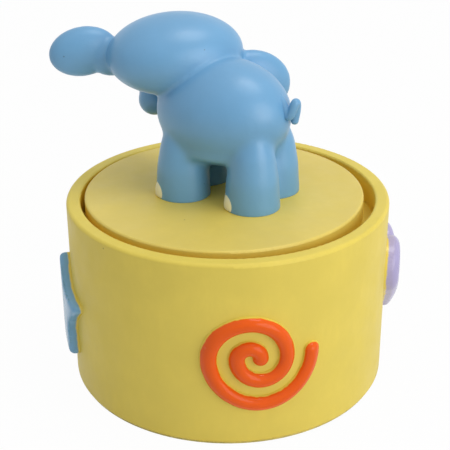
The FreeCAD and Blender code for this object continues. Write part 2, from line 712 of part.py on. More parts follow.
def movement_bedplate():
    bed = block(BED_LEFT, bracket_end, -BED_HALF_WIDTH, BED_HALF_WIDTH, plate_top, bed_top)
    wing = block(BED_WING_START, bracket_end, comb_back_y, governor_back, plate_top, bed_top)
    pedestal = block(comb_start, comb_end, comb_back_y, comb_root_y, bed_top, comb_bottom)
    room = cylinder(cavity_radius - BED_WALL_GAP, plate_top, comb_bottom, -SPINDLE_X)
    bed = bed.fuse([wing, pedestal]).common(room)
    holes = [cylinder(ARBOR_RADIUS + RUNNING_CLEARANCE, plate_top, bed_top)]
    for at in bed_screw_places():
        holes.append(cylinder(BED_SCREW_RADIUS, plate_top, bed_top, at.x, at.y))
    click_end = click_top - CLICK_SCREW_LENGTH
    holes.append(cylinder(CLICK_SCREW_RADIUS, click_end, bed_top, click_screw_at.x, click_screw_at.y))
    for x in comb_screw_xs:
        holes.append(cylinder(COMB_SCREW_RADIUS, comb_top - COMB_SCREW_LENGTH, comb_bottom, x, comb_screw_y))
    for x in foot_screw_xs:
        holes.append(cylinder(FOOT_SCREW_RADIUS, foot_top - FOOT_SCREW_LENGTH, bed_top, x, 0))
    return bed.cut(holes).removeSplitter()


def movement_screws():
    length = BASE_PLATE_THICKNESS + BED_THICKNESS
    return Part.makeCompound([screw(BED_SCREW_RADIUS, length, at, True) for at in bed_screw_places()])


def cylinder_post():
    top = train_height + POST_TOP_WALL
    post = block(post_start, post_start + POST_THICKNESS, -POST_HALF_WIDTH, POST_HALF_WIDTH, bed_top, top)
    foot_end = cylinder_start + FOOT_LENGTH
    foot = block(post_start, foot_end, -POST_HALF_WIDTH, POST_HALF_WIDTH, bed_top, foot_top)
    bearing = rod(CYLINDER_ARBOR_RADIUS + RUNNING_CLEARANCE, post_start, foot_end, 0, train_height)
    return post.fuse(foot).cut([bearing, foot_hole(foot_screw_xs[0])]).removeSplitter()


def gear_bracket():
    top = train_height + POST_TOP_WALL
    end_y = idler_y + BRACKET_EDGE
    wall = block(bracket_start, bracket_end, -POST_HALF_WIDTH, end_y, bed_top, top)
    foot_start = bracket_start - FOOT_LENGTH
    foot = block(foot_start, bracket_end, -POST_HALF_WIDTH, POST_HALF_WIDTH, bed_top, foot_top)
    bearing = rod(CYLINDER_ARBOR_RADIUS + RUNNING_CLEARANCE, foot_start, bracket_end, 0, train_height)
    idler = rod(IDLER_ARBOR_RADIUS + RUNNING_CLEARANCE, foot_start, bracket_end, idler_y, train_height)
    return wall.fuse(foot).cut([bearing, idler, foot_hole(foot_screw_xs[1])]).removeSplitter()


def foot_hole(x):
    return cylinder(FOOT_SCREW_RADIUS, bed_top, foot_top, x, 0)


def bracket_screws():
    places = [V(x, 0, foot_top) for x in foot_screw_xs]
    return Part.makeCompound([screw(FOOT_SCREW_RADIUS, FOOT_SCREW_LENGTH, at, False) for at in places])


def comb():
    corners = []
    for tooth in range(comb_teeth):
        left = comb_start + tooth * COMB_PITCH + COMB_SLOT / 2
        right = left + COMB_PITCH - COMB_SLOT
        corners.append(V(left, comb_root_y, comb_bottom))
        corners.append(V(left, comb_tip_y, comb_bottom))
        corners.append(V(right, comb_tip_y, comb_bottom))
        corners.append(V(right, comb_root_y, comb_bottom))
    corners.append(V(comb_end, comb_root_y, comb_bottom))
    corners.append(V(comb_end, comb_back_y, comb_bottom))
    corners.append(V(comb_start, comb_back_y, comb_bottom))
    corners.append(V(comb_start, comb_root_y, comb_bottom))
    holes = [cylinder(COMB_SCREW_RADIUS, comb_bottom, comb_top, x, comb_screw_y) for x in comb_screw_xs]
    return prism(corners, COMB_THICKNESS).cut(holes)


def comb_screws():
    places = [V(x, comb_screw_y, comb_top) for x in comb_screw_xs]
    return Part.makeCompound([screw(COMB_SCREW_RADIUS, COMB_SCREW_LENGTH, at, False) for at in places])


# Pinned cylinder
def pin_cylinder():
    """Each track has a few pins, spread by a rule so that neighbouring tracks differ."""
    body = rod(CYLINDER_RADIUS, cylinder_start, cylinder_end, 0, train_height)
    pins = []
    for track in range(comb_teeth):
        x = comb_start + (track + 0.5) * COMB_PITCH
        for number in range(PINS_PER_TRACK):
            spread = number * (PIN_STEPS // PINS_PER_TRACK + track % 2)
            step = (PIN_STRIDE * track + spread) % PIN_STEPS
            angle = radians(360 / PIN_STEPS * (step + 0.5))
            out = V(0, cos(angle), sin(angle))
            root = V(x, 0, train_height) + out * (CYLINDER_RADIUS - PIN_SINK)
            pins.append(Part.makeCylinder(PIN_RADIUS, PIN_HEIGHT + PIN_SINK, root, out))
    bore = rod(CYLINDER_ARBOR_RADIUS, cylinder_start, cylinder_end, 0, train_height)
    return body.cut(bore).fuse(pins).removeSplitter()


def cylinder_arbor():
    return rod(CYLINDER_ARBOR_RADIUS, pinion_start, spur_end, 0, train_height)


def cylinder_pinion():
    return gear_on_x(PINION_TEETH, CROWN_MODULE, PINION_FACE, CYLINDER_ARBOR_RADIUS, 0, pinion_start, 0)


def cylinder_wheel():
    return gear_on_x(CYLINDER_WHEEL_TEETH, SPUR_MODULE, SPUR_FACE, CYLINDER_ARBOR_RADIUS, 90, spur_start, 0)


# Idler and governor
def idler_pinion():
    """The idler's arbor with its pinion leaves."""
    tooth_at = -90 + 180 / IDLER_PINION_TEETH
    bore = IDLER_ARBOR_RADIUS - WORM_SINK
    leaves = gear_on_x(IDLER_PINION_TEETH, SPUR_MODULE, SPUR_FACE, bore, tooth_at, spur_start, idler_y)
    arbor = rod(IDLER_ARBOR_RADIUS, idler_wheel_start, spur_end, idler_y, train_height)
    return leaves.fuse(arbor).removeSplitter()


def idler_wheel():
    return gear_on_x(IDLER_WHEEL_TEETH, WORM_MODULE, IDLER_WHEEL_FACE, IDLER_ARBOR_RADIUS, 90,
                     idler_wheel_start, idler_y)


def governor_worm():
    """A single right-hand thread on an upright shaft, with a gap facing the idler wheel's tooth at rest."""
    tip = WORM_PITCH_RADIUS + TOOTH_ADDENDUM * WORM_MODULE
    root = WORM_PITCH_RADIUS - TOOTH_DEDENDUM * WORM_MODULE
    half_tip = WORM_TIP_SHARE * worm_lead
    half_root = WORM_ROOT_SHARE * worm_lead
    path = Part.makeHelix(worm_lead, worm_top - worm_bottom, WORM_PITCH_RADIUS)
    corners = [
        V(root - WORM_SINK, 0, -half_root),
        V(tip, 0, -half_tip),
        V(tip, 0, half_tip),
        V(root - WORM_SINK, 0, half_root),
    ]
    thread = Part.Wire(path).makePipeShell([Part.makePolygon(corners + corners[:1])], True, True)
    thread = moved(thread, V(0, 0, worm_bottom))
    core = cylinder(root, worm_bottom - worm_lead / 2, fan_bottom)
    shaft_bottom = bed_top + GOVERNOR_ARM_THICKNESS + END_PLAY
    shaft = cylinder(WORM_SHAFT_RADIUS, shaft_bottom, governor_arm_bottom - END_PLAY)
    pivots = cylinder(GOVERNOR_PIVOT_RADIUS, bed_top + END_PLAY, governor_top)
    made = core.fuse([thread, shaft, pivots]).removeSplitter()
    return moved(made, V(worm_x, worm_y, 0))


def governor_fan():
    """Two flat wings on a hub, which brake on the air."""
    hub = cylinder(FAN_HUB_RADIUS, fan_bottom, fan_top)
    half = FAN_THICKNESS / 2
    wings = block(-FAN_RADIUS, FAN_RADIUS, -half, half, fan_bottom, fan_top)
    fan = hub.fuse(wings).cut(cylinder(WORM_SHAFT_RADIUS, fan_bottom, fan_top)).removeSplitter()
    return moved(fan, V(worm_x, worm_y, 0))


def governor_bracket():
    left = worm_x - GOVERNOR_HALF_WIDTH
    right = worm_x + GOVERNOR_HALF_WIDTH
    front = worm_y - GOVERNOR_ARM_REACH
    wall = block(left, right, governor_wall_y, governor_back, bed_top, governor_top)
    low_arm = block(left, right, front, governor_back, bed_top, bed_top + GOVERNOR_ARM_THICKNESS)
    high_arm = block(left, right, front, governor_back, governor_arm_bottom, governor_top)
    bore = cylinder(GOVERNOR_PIVOT_RADIUS + RUNNING_CLEARANCE, bed_top, governor_top, worm_x, worm_y)
    return wall.fuse([low_arm, high_arm]).cut(bore).removeSplitter()


# Elephant
def body_place(forward, side, rise):
    """A point given along the elephant's own length and width, above the disc."""
    return turned(Part.Vertex(forward, side, rise + disc_top), Z_AXIS, BODY_YAW).Point


def leg():
    """A leg on Z that flares to a round-edged foot and narrows where it enters the flank."""
    foot = Part.makeCone(FOOT_RADIUS, LEG_RADIUS, LEG_FLARE_HEIGHT)
    foot = foot.makeFillet(FOOT_EDGE_ROUND, circle_edges(foot, FOOT_RADIUS, 0))
    shank_length = THIGH_HEIGHT - LEG_FLARE_HEIGHT
    shank = Part.makeCone(LEG_RADIUS, THIGH_RADIUS, shank_length, V(0, 0, LEG_FLARE_HEIGHT))
    thigh = Part.makeCone(THIGH_RADIUS, SHOULDER_RADIUS, LEG_TOP - THIGH_HEIGHT, V(0, 0, THIGH_HEIGHT))
    return foot.fuse([shank, thigh])


def foot_places():
    places = []
    for forward in (-HIND_LEG_BACK, FRONT_LEG_FORWARD):
        for side in (-LEG_SIDE, LEG_SIDE):
            places.append(V(forward, side, 0))
    return places


def flanks():
    """An oval drum with a round lower edge that carries the sides down between the legs."""
    outline = Part.Ellipse(V(0, 0, FLANK_BOTTOM), FLANK_HALF_LENGTH, FLANK_HALF_WIDTH).toShape()
    drum = Part.Face(Part.Wire(outline)).extrude(V(0, 0, FLANK_TOP - FLANK_BOTTOM))
    low_edge = [edge for edge in drum.Edges if edge.BoundBox.ZMax < FLANK_BOTTOM + TINY]
    return drum.makeFillet(FLANK_ROUND, low_edge)


def elephant_body():
    belly = moved(ellipsoid(BODY_HALF_LENGTH, BODY_RADIUS, BODY_RADIUS), V(0, 0, BODY_MIDDLE))
    body = belly.fuse([flanks()] + [moved(leg(), at) for at in foot_places()]).removeSplitter()
    return moved(turned(body, Z_AXIS, BODY_YAW), V(0, 0, disc_top))


def toenails(body):
    """Domed nails on the front of each foot, flat just above the disc."""
    nails = []
    share = NAIL_MIDDLE / LEG_FLARE_HEIGHT
    reach = FOOT_RADIUS + (LEG_RADIUS - FOOT_RADIUS) * share - NAIL_SINK
    dome = moved(ellipsoid(NAIL_HALF_DEPTH, NAIL_HALF_WIDTH, NAIL_HALF_HEIGHT), V(0, 0, NAIL_MIDDLE))
    room = block(-NAIL_HALF_DEPTH, NAIL_HALF_DEPTH, -NAIL_HALF_WIDTH, NAIL_HALF_WIDTH, NAIL_BOTTOM, LEG_TOP)
    nail = moved(dome.common(room), V(reach, 0, 0))
    for at in foot_places():
        for angle in NAIL_ANGLES:
            placed = moved(turned(nail, Z_AXIS, angle), at)
            nails.append(moved(turned(placed, Z_AXIS, BODY_YAW), V(0, 0, disc_top)).cut(body))
    return Part.makeCompound(nails)


def head_blank():
    blank = ellipsoid(HEAD_HALF_DEPTH, HEAD_HALF_WIDTH, HEAD_HALF_HEIGHT)
    return moved(turned(blank, Z_AXIS, HEAD_YAW), head_place)


def ear(lobe, place, yaw, tilt, head, body):
    """A thick oval lobe, tilted in the head's own plane and cut where it meets the head."""
    lobe = turned(turned(lobe, X_AXIS, tilt), Z_AXIS, yaw)
    return moved(lobe, place).cut([head, body])


def left_ear(head, body):
    lobe = ellipsoid(EAR_HALF_THICKNESS, LEFT_EAR_HALF_LENGTH, LEFT_EAR_HALF_HEIGHT)
    return ear(lobe, left_ear_place, LEFT_EAR_YAW, LEFT_EAR_TILT, head, body)


def right_ear(head, body):
    lobe = ellipsoid(EAR_HALF_THICKNESS, RIGHT_EAR_HALF_LENGTH, RIGHT_EAR_HALF_HEIGHT)
    return ear(lobe, right_ear_place, RIGHT_EAR_YAW, RIGHT_EAR_TILT, head, body)


def head_point(at):
    """A point given in the head's own directions: forward, left and up."""
    return turned(Part.Vertex(at.x, at.y, at.z), Z_AXIS, HEAD_YAW).Point + head_place


def elephant_trunk(head, body):
    """A tube that bends in one arc from the face down to a round tip."""
    bend = Part.Arc(head_point(trunk_root), head_point(trunk_knee), head_point(trunk_tip)).toShape()
    start = bend.FirstParameter
    section = Part.makeCircle(TRUNK_RADIUS, bend.valueAt(start), bend.tangentAt(start))
    sweep = degrees(bend.LastParameter - start)
    tube = Part.Face(Part.Wire(section)).revolve(bend.Curve.Center, bend.Curve.Axis, sweep)
    tip = Part.makeSphere(TRUNK_RADIUS, head_point(trunk_tip))
    return tube.fuse(tip).removeSplitter().cut([head, body])


def eyes(head):
    depth = sqrt(1 - (EYE_SIDE / HEAD_HALF_WIDTH) ** 2 - (EYE_RISE / HEAD_HALF_HEIGHT) ** 2) * HEAD_HALF_DEPTH
    beads = []
    for side in (-EYE_SIDE, EYE_SIDE):
        at = head_point(V(depth - EYE_SINK, side, EYE_RISE))
        beads.append(Part.makeSphere(EYE_RADIUS, at).cut(head))
    return Part.makeCompound(beads)


def elephant_tail(body):
    """A short tail that hangs from the rump and ends in a tuft."""
    root = body_place(-TAIL_REACH + TAIL_ROOT_SINK, 0, TAIL_RISE)
    bend = body_place(-TAIL_REACH, 0, TAIL_RISE - TAIL_RADIUS)
    end = body_place(-TAIL_REACH, 0, TAIL_RISE - TAIL_DROP)
    pieces = [Part.makeSphere(TAIL_RADIUS, bend), Part.makeSphere(TAIL_TIP_RADIUS, end)]
    pieces.append(Part.makeCone(TAIL_ROOT_RADIUS, TAIL_RADIUS, (bend - root).Length, root, bend - root))
    pieces.append(Part.makeCone(TAIL_RADIUS, TAIL_TIP_RADIUS, (end - bend).Length, bend, end - bend))
    return pieces[0].fuse(pieces[1:]).cut(body).removeSplitter()


def save(name, shape, place=V()):
    moved(shape, place).exportStep("parts/" + name + ".step")


def main():
    os.makedirs("parts", exist_ok=True)
    on_spindle = V(SPINDLE_X, 0, 0)
    for make in (drum_casing, felt_ring, base_plate, base_plate_screws, relief_swirl, relief_star,
                 relief_heart, relief_flower):
        save(make.__name__, make())
    for make in (turntable_disc, threaded_insert, spindle, spindle_bush, thrust_washer, spring_barrel,
                 barrel_cap, mainspring, winding_arbor, winding_key, ratchet_wheel, click_spring,
                 click_screw, movement_bedplate, movement_screws, cylinder_post, gear_bracket,
                 bracket_screws, comb, comb_screws, pin_cylinder, cylinder_arbor, cylinder_pinion,
                 cylinder_wheel, idler_pinion, idler_wheel, governor_worm, governor_fan,
                 governor_bracket):
        save(make.__name__, make(), on_spindle)
    body = elephant_body()
    blank = head_blank()
    head = blank.cut(body)
    save("elephant_body", body, on_spindle)
    save("elephant_head", head, on_spindle)
    save("toenails", toenails(body), on_spindle)
    for make in (left_ear, right_ear, elephant_trunk):
        save(make.__name__, make(blank, body), on_spindle)
    save("eyes", eyes(head), on_spindle)
    save("elephant_tail", elephant_tail(body), on_spindle)


main()
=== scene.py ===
import json
from math import cos, pi, radians, sin, sqrt

import bmesh
import bpy
from bpy.props import FloatProperty, FloatVectorProperty, IntProperty, PointerProperty
from mathutils import Matrix, Vector


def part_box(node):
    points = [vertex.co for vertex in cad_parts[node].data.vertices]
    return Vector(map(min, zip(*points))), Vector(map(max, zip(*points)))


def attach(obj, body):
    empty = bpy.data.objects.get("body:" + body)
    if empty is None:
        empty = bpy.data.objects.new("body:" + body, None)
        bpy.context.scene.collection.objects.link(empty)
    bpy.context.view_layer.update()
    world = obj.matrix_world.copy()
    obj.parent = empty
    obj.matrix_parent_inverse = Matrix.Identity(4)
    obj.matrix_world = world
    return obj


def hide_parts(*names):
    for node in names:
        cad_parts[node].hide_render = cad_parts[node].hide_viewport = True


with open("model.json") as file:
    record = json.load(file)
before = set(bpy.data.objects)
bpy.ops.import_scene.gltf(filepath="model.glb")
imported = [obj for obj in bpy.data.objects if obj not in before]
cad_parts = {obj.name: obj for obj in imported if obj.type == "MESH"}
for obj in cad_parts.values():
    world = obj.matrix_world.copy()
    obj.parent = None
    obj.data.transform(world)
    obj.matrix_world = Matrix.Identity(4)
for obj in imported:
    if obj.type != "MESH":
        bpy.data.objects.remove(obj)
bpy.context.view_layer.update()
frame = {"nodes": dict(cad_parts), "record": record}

bl_info = {
    "name": "Revolving Elephant Figurine",
    "version": (1, 0, 0),
    "blender": (4, 5, 0),
    "location": "View3D > Sidebar > Figurine",
    "description": "Models and paints a wind-up revolving elephant on a drum",
    "category": "Object",
}

casing_low, casing_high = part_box("drum_casing")
disc_low, disc_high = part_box("turntable_disc")
drum_radius = (casing_high.y - casing_low.y) / 2
pivot = Vector(((disc_low.x + disc_high.x) / 2, 0, disc_high.z))

# Sides of a round plate, and how nearly two directions agree to count as one
ROUND_SIDES = 48
ALIGNED = 0.99

# How near a point is to a cut to count as on it, for the wide skin and for small pieces
SKIN_CUT = 0.0001
FINE_CUT = 0.000001

# How far a leg reaches down through the disc before its sole is cut
LEG_SINK = 0.006

# Bends of the trunk from the middle of the head, forward, to the left and up
TRUNK_BENDS = (
    (0.0100, 0.0, 0.0010),
    (0.0185, -0.0008, -0.0040),
    (0.0226, 0.0005, -0.0130),
    (0.0198, 0.0027, -0.0216),
)

# Bends of the tail from the spindle's axis and the disc's top, and its thickness at each
TAIL_BENDS = (
    (-0.0190, 0.0, 0.0352),
    (-0.0222, 0.0005, 0.0326),
    (-0.0228, 0.0010, 0.0284),
    (-0.0243, 0.0009, 0.0310),
    (-0.0256, 0.0002, 0.0362),
    (-0.0252, -0.0018, 0.0318),
    (-0.0245, -0.0013, 0.0278),
)
TAIL_GIRTHS = (1.2, 1.1, 1.0, 1.0, 1.0, 0.95, 0.9)

# Eyes: to either side of the face, above the middle of the head and sunk into the skin
EYE_SIDE = 0.0094
EYE_RISE = 0.0056
EYE_SINK = 0.0004
# Depth, width and height of a bead and the cut at its back, in radii
EYE_FORM = (0.8, 1.0, 1.15)
EYE_BACK = 0.5

# Reliefs: how deep they are rooted in the drum, and the share of the height that is wall
ROOT_DEPTH = 0.0015
WALL_SHARE = 0.62
# Rings above the wall, drawn in by a share of the edge and raised by a share of the height
CUSHION_RINGS = ((0.30, 0.20), (0.30, 0.12), (0.40, 0.06))
# Half turns of the swirl, and how many of its steps it starts left of its middle
SWIRL_HALF_TURNS = 4
SWIRL_SHIFT = 1.5
STAR_TIPS = 5
FLOWER_PETALS = 6
# Height of the petals and of the button in the flower's relief, and the button's size in petals
PETAL_PROUD = 0.9
BUTTON_PROUD = 1.15
BUTTON_SIZE = 0.85

# Height of a relief above the drum, kept on its points, and where its paint starts
RISE = "rise"
BRUSH_ENDS = (0.0006, 0.0010)
BRUSH_WOBBLE = 0.0002

# Painted bounce light in grooves: how near the other wall of a groove is for it to show, how strong
# it is, and how it shifts the colour
BOUNCE_REACH = 0.006
BOUNCE_STRENGTH = 0.85
BOUNCE_GAIN = (1.22, 1.06, 0.4)

# Grain of the finishes, in cells to the metre
PAINT_CLOUD = 70.0
PAINT_STREAK = 420.0
PAINT_SHEEN = 160.0
PAINT_PEEL = 150.0
PAINT_GRIT = 1100.0
PAINT_DUST = 130.0
BRUSH_LINE = 330.0
FELT_FIBRE = 3200.0
FELT_CLOUD = 260.0
MOULD_CLOUD = 90.0
MOULD_SHEEN = 300.0
MOULD_GRIT = 1500.0
METAL_FILM = 120.0
METAL_MARKS = 900.0
PAPER_CLOUD = 6.0

# The part of a pattern that is spread out, from its low to its high end
SOFT_ENDS = (0.35, 0.65)
WIDE_ENDS = (0.3, 0.7)
HIGH_ENDS = (0.4, 0.7)
WORN_ENDS = (0.53, 0.60)
BRIGHT_ENDS = (0.53, 0.62)
CREASE_ENDS = (0.47, 0.40)
BOUNCE_ENDS = (0.15, 0.65)

# Paint worn thin: how much of its colour is left, and how much pale resin shows through
THIN_COLOUR = 0.5
THIN_RESIN = 0.45

# Strength of the painted shade in creases and of the dust specks in paint, and of worn edges on
# plastic and metal
CREASE_SHADE = 0.35
DUST_SHADE = 0.55
PLASTIC_EDGE = 0.3
METAL_EDGE = 0.5

# Colours of the eyes, the felt, the plastic and the metal
EYE_BLACK = (0.02, 0.02, 0.025)
FELT_YELLOW = (0.62, 0.49, 0.11)
PLATE_BUFF = (0.55, 0.50, 0.40)
NYLON_WHITE = (0.80, 0.79, 0.75)
STEEL_GREY = (0.56, 0.57, 0.58)
STEEL_BLUE = (0.10, 0.13, 0.24)
CAST_GREY = (0.46, 0.46, 0.45)
BRASS_GOLD = (0.72, 0.50, 0.20)
KEY_SILVER = (0.66, 0.64, 0.60)

# The floor's size and its gap below the felt, and the point at which the lamps aim
FLOOR_SIZE = 8.0
FLOOR_DROP = 0.0002
LAMP_AIM = (0, 0, 0.06)

# The camera's sensor, in millimetres, and the nearest that it sees
SENSOR_WIDTH = 36.0
NEAR_CLIP = 0.01


# Settings
def length(name, description, default):
    return FloatProperty(name=name, description=description, default=default, unit="LENGTH",
                         precision=5)


def angle(name, description, default):
    return FloatProperty(name=name, description=description, default=radians(default),
                         subtype="ANGLE")


def place(name, description, default):
    return FloatVectorProperty(name=name, description=description, default=default, subtype="XYZ",
                               unit="LENGTH", precision=5)


def colour(name, description, default):
    return FloatVectorProperty(name=name, description=description, default=default,
                               subtype="COLOR", min=0.0, max=1.0)


class ElephantShape(bpy.types.PropertyGroup):
    """Sizes of the elephant"""
    body_yaw: angle("Body yaw", "Where the body faces, from +X", 153.6)
    body_middle: length("Body height", "Middle of the belly above the disc", 0.0278)
    body_half_length: length("Body half length", "From the middle to the rump", 0.0230)
    body_radius: length("Body radius", "Half the body's width", 0.0179)
    front_legs: length("Front legs", "Front feet before the middle", 0.0112)
    hind_legs: length("Hind legs", "Hind feet behind the middle", 0.0142)
    leg_side: length("Leg spread", "Feet to either side of the middle", 0.0079)
    foot_radius: length("Foot radius", "Radius of the sole", 0.0092)
    leg_radius: length("Leg radius", "Radius above the ankle", 0.0086)
    ankle: length("Ankle height", "Where the foot's flare ends", 0.010)
    thigh_radius: length("Thigh radius", "Radius where the leg meets the flank", 0.0072)
    thigh: length("Thigh height", "Where the leg meets the flank", 0.018)
    shoulder_radius: length("Shoulder radius", "Radius of the leg's end inside the flank", 0.0048)
    shoulder: length("Shoulder height", "Where the leg ends inside the flank", 0.024)
    flank_length: length("Flank length", "Half the length of the flanks between the legs", 0.0185)
    flank_width: length("Flank width", "Half the width of the flanks between the legs", 0.0153)
    flank_bottom: length("Flank height", "Underside of the flanks above the disc", 0.0144)
    flank_top: length("Flank top", "Where the flanks end inside the belly", 0.0220)
    flank_round: length("Flank rounding", "Radius of the flanks' lower edge", 0.0025)
    limb_blend: IntProperty(name="Limb blend", description="How softly the legs run into the belly",
                            default=36, min=0, max=80)
    head_middle: place("Head", "Middle of the head from the spindle's axis and the disc's top",
                       (-0.0155, 0.0090, 0.0446))
    head_yaw: angle("Head yaw", "Where the head faces, from +X", 108.0)
    head_half: place("Head size", "Half depth, half width and half height",
                     (0.0160, 0.0227, 0.0134))
    left_ear: place("Left ear", "Middle of the left ear from the head's",
                    (-0.0302, 0.0008, 0.0006))
    left_ear_half: place("Left ear size", "Half thickness, length and height",
                         (0.0050, 0.0114, 0.0082))
    left_ear_yaw: angle("Left ear yaw", "Where the left ear's flat faces, from +X", 100.0)
    left_ear_tilt: angle("Left ear tilt", "Droop of the left ear", -8.9)
    ear_root: place("Ear root", "Thick root of the left ear, from the middle of the head",
                    (-0.0212, 0.0008, -0.0012))
    ear_root_half: place("Ear root size", "Half thickness, length and height of the root",
                         (0.0048, 0.0075, 0.0064))
    right_ear: place("Right ear", "Middle of the right ear from the head's",
                     (0.0259, 0.0060, -0.0114))
    right_ear_half: place("Right ear size", "Half thickness, length and height",
                          (0.0050, 0.0132, 0.0105))
    right_ear_yaw: angle("Right ear yaw", "Where the right ear's flat faces, from +X", 108.0)
    right_ear_tilt: angle("Right ear tilt", "Droop of the right ear", 20.4)
    trunk_radius: length("Trunk radius", "Radius of the trunk", 0.0056)
    skin_voxel: length("Skin detail", "Size of the steps in which the casting is blended", 0.0006)
    skin_blend: IntProperty(name="Skin blend",
                            description="How softly the head and ears run together",
                            default=10, min=0, max=60)
    tail_radius: length("Tail radius", "Radius of the tail", 0.00145)
    nail_half: place("Nail size", "Half depth, width and height of the dome",
                     (0.0022, 0.0037, 0.0049))
    nail_middle: length("Nail height", "Middle of the dome above the disc", 0.0012)
    nail_bottom: length("Nail gap", "Flat end of the nail above the disc", 0.0003)
    nail_proud: length("Nail relief", "How far a nail stands out of the foot", 0.0004)
    nail_spread: angle("Nail spread", "Angle between the nails of a foot", 46.0)
    eye_radius: length("Eye radius", "Radius of each eye bead", 0.0016)


class ReliefShape(bpy.types.PropertyGroup):
    """Sizes and places of the raised shapes on the drum's side"""
    swirl_angle: angle("Swirl angle", "Place of the swirl, to the right of the front", 13.0)
    swirl_height: length("Swirl height", "Middle of the swirl above the table", 0.0319)
    swirl_stroke: length("Swirl stroke", "Width of the bead", 0.0052)
    swirl_inner: length("Swirl start", "Radius of the first half turn", 0.0037)
    swirl_step: length("Swirl step", "Growth of the radius at each half turn", 0.0042)
    star_angle: angle("Star angle", "Place of the star, to the right of the front", -81.0)
    star_height: length("Star height", "Middle of the star above the table", 0.0274)
    star_radius: length("Star radius", "Reach of the star's tips", 0.0200)
    star_waist: length("Star waist", "Radius between the tips", 0.0105)
    star_turn: angle("Star turn", "Where its first tip points, from the right", 90.0)
    star_proud: length("Star relief", "How far the star stands out", 0.0035)
    heart_angle: angle("Heart angle", "Place of the heart, to the right of the front", 95.0)
    heart_height: length("Heart height", "Middle of the heart above the table", 0.0308)
    heart_lobe: length("Heart lobe", "Radius of its lobes", 0.0098)
    heart_proud: length("Heart relief", "How far the heart stands out", 0.0050)
    flower_angle: angle("Flower angle", "Place of the flower, to the right of the front", 190.0)
    flower_height: length("Flower height", "Middle of the flower above the table", 0.0308)
    flower_petal: length("Petal radius", "Radius of each petal", 0.0066)
    flower_reach: length("Petal reach", "Middle of each petal from the flower's", 0.0105)
    flower_proud: length("Flower relief", "How far the flower stands out", 0.0030)


class PaintColours(bpy.types.PropertyGroup):
    """Colours of the painted pieces"""
    drum: colour("Drum yellow", "Paint of the drum", (0.78, 0.618, 0.105))
    disc: colour("Disc yellow", "Paint of the revolving disc", (0.76, 0.588, 0.116))
    elephant: colour("Elephant blue", "Paint of the elephant", (0.148, 0.370, 0.615))
    swirl: colour("Swirl orange", "Paint of the swirl", (0.84, 0.108, 0.004))
    star: colour("Star blue", "Paint of the star", (0.20, 0.43, 0.66))
    heart: colour("Heart lavender", "Paint of the heart", (0.42, 0.38, 0.63))
    flower: colour("Flower coral", "Paint of the flower", (0.70, 0.22, 0.26))
    nail: colour("Nail cream", "Paint of the toenails", (0.96, 0.92, 0.62))


class StageSetup(bpy.types.PropertyGroup):
    """Camera, lamps, surrounding light and floor"""
    lens: FloatProperty(name="Lens", description="Focal length", default=85.66,
                        subtype="DISTANCE_CAMERA")
    camera_place: place("Camera", "Where the camera stands", (-0.00096, -0.33116, 0.20721))
    camera_target: place("Target", "The point in the middle of the picture",
                         (-0.00096, 0.0, 0.05159))
    camera_roll: angle("Roll", "Turn of the camera about its view", -0.32)
    side_power: FloatProperty(name="Side light", description="Power of the low lamp at the right",
                              default=4.2, unit="POWER")
    side_place: place("Side lamp", "Where the low lamp stands", (0.74, -0.67, 0.32))
    side_size: length("Side lamp size", "Width of the low lamp", 0.8)
    top_power: FloatProperty(name="Top light", description="Power of the lamp overhead",
                             default=3.0, unit="POWER")
    top_place: place("Top lamp", "Where the lamp overhead hangs", (0.38, -0.06, 1.08))
    top_size: length("Top lamp size", "Width of the lamp overhead", 0.5)
    horizon: FloatProperty(name="Horizon", description="Light that comes in level from all round",
                           default=0.05)
    zenith: FloatProperty(name="Zenith",
                          description="Light that comes straight down from the tent",
                          default=0.98)
    floor: colour("Floor", "Colour of the floor", (0.74, 0.74, 0.73))
    floor_glow: FloatProperty(name="Floor glow",
                              description="How far the floor shows as plain white",
                              default=0.97, min=0.0, max=1.0, subtype="FACTOR")


# Tools of the bench
def pick_only(*objects):
    bpy.ops.object.select_all(action="DESELECT")
    for obj in objects:
        obj.select_set(True)
    bpy.context.view_layer.objects.active = objects[0]


def named(name):
    """The primitive just added, with its place put into its mesh."""
    obj = bpy.context.object
    obj.name = name
    obj.data.name = name
    bpy.ops.object.transform_apply(location=True, rotation=True, scale=True)
    return obj


def start_edit(obj):
    pick_only(obj)
    bpy.ops.object.mode_set(mode="EDIT")


def end_edit():
    bpy.ops.object.mode_set(mode="OBJECT")


def pick_points(obj, test):
    """Selects the points of the mesh in edit mode whose place passes the test."""
    bpy.ops.mesh.select_mode(type="VERT")
    bpy.ops.mesh.select_all(action="DESELECT")
    mesh = bmesh.from_edit_mesh(obj.data)
    for point in mesh.verts:
        point.select_set(bool(test(point.co)))
    mesh.select_flush(True)
    bmesh.update_edit_mesh(obj.data)


def pick_edges(obj, test):
    """Selects the edges of the mesh in edit mode whose two ends pass the test."""
    bpy.ops.mesh.select_mode(type="EDGE")
    bpy.ops.mesh.select_all(action="DESELECT")
    mesh = bmesh.from_edit_mesh(obj.data)
    for edge in mesh.edges:
        edge.select_set(bool(test(edge.verts[0].co, edge.verts[1].co)))
    bmesh.update_edit_mesh(obj.data)


def face_outwards(obj):
    start_edit(obj)
    bpy.ops.mesh.select_all(action="SELECT")
    bpy.ops.mesh.normals_make_consistent(inside=False)
    end_edit()


def slice_off(obj, at, way, near):
    """Cuts off what lies behind a plane and closes the cut. Points so near count as on it."""
    start_edit(obj)
    bpy.ops.mesh.select_all(action="SELECT")
    bpy.ops.mesh.bisect(plane_co=at, plane_no=way, use_fill=True, clear_inner=True, threshold=near)
    end_edit()
    face_outwards(obj)


def refine(obj, kind, **settings):
    """Adds a modifier, sets it and applies it."""
    pick_only(obj)
    modifier = obj.modifiers.new(kind.title(), kind)
    for name, value in settings.items():
        setattr(modifier, name, value)
    bpy.ops.object.modifier_apply(modifier=modifier.name)


def join(first, *others):
    pick_only(first, *others)
    bpy.ops.object.join()
    return first


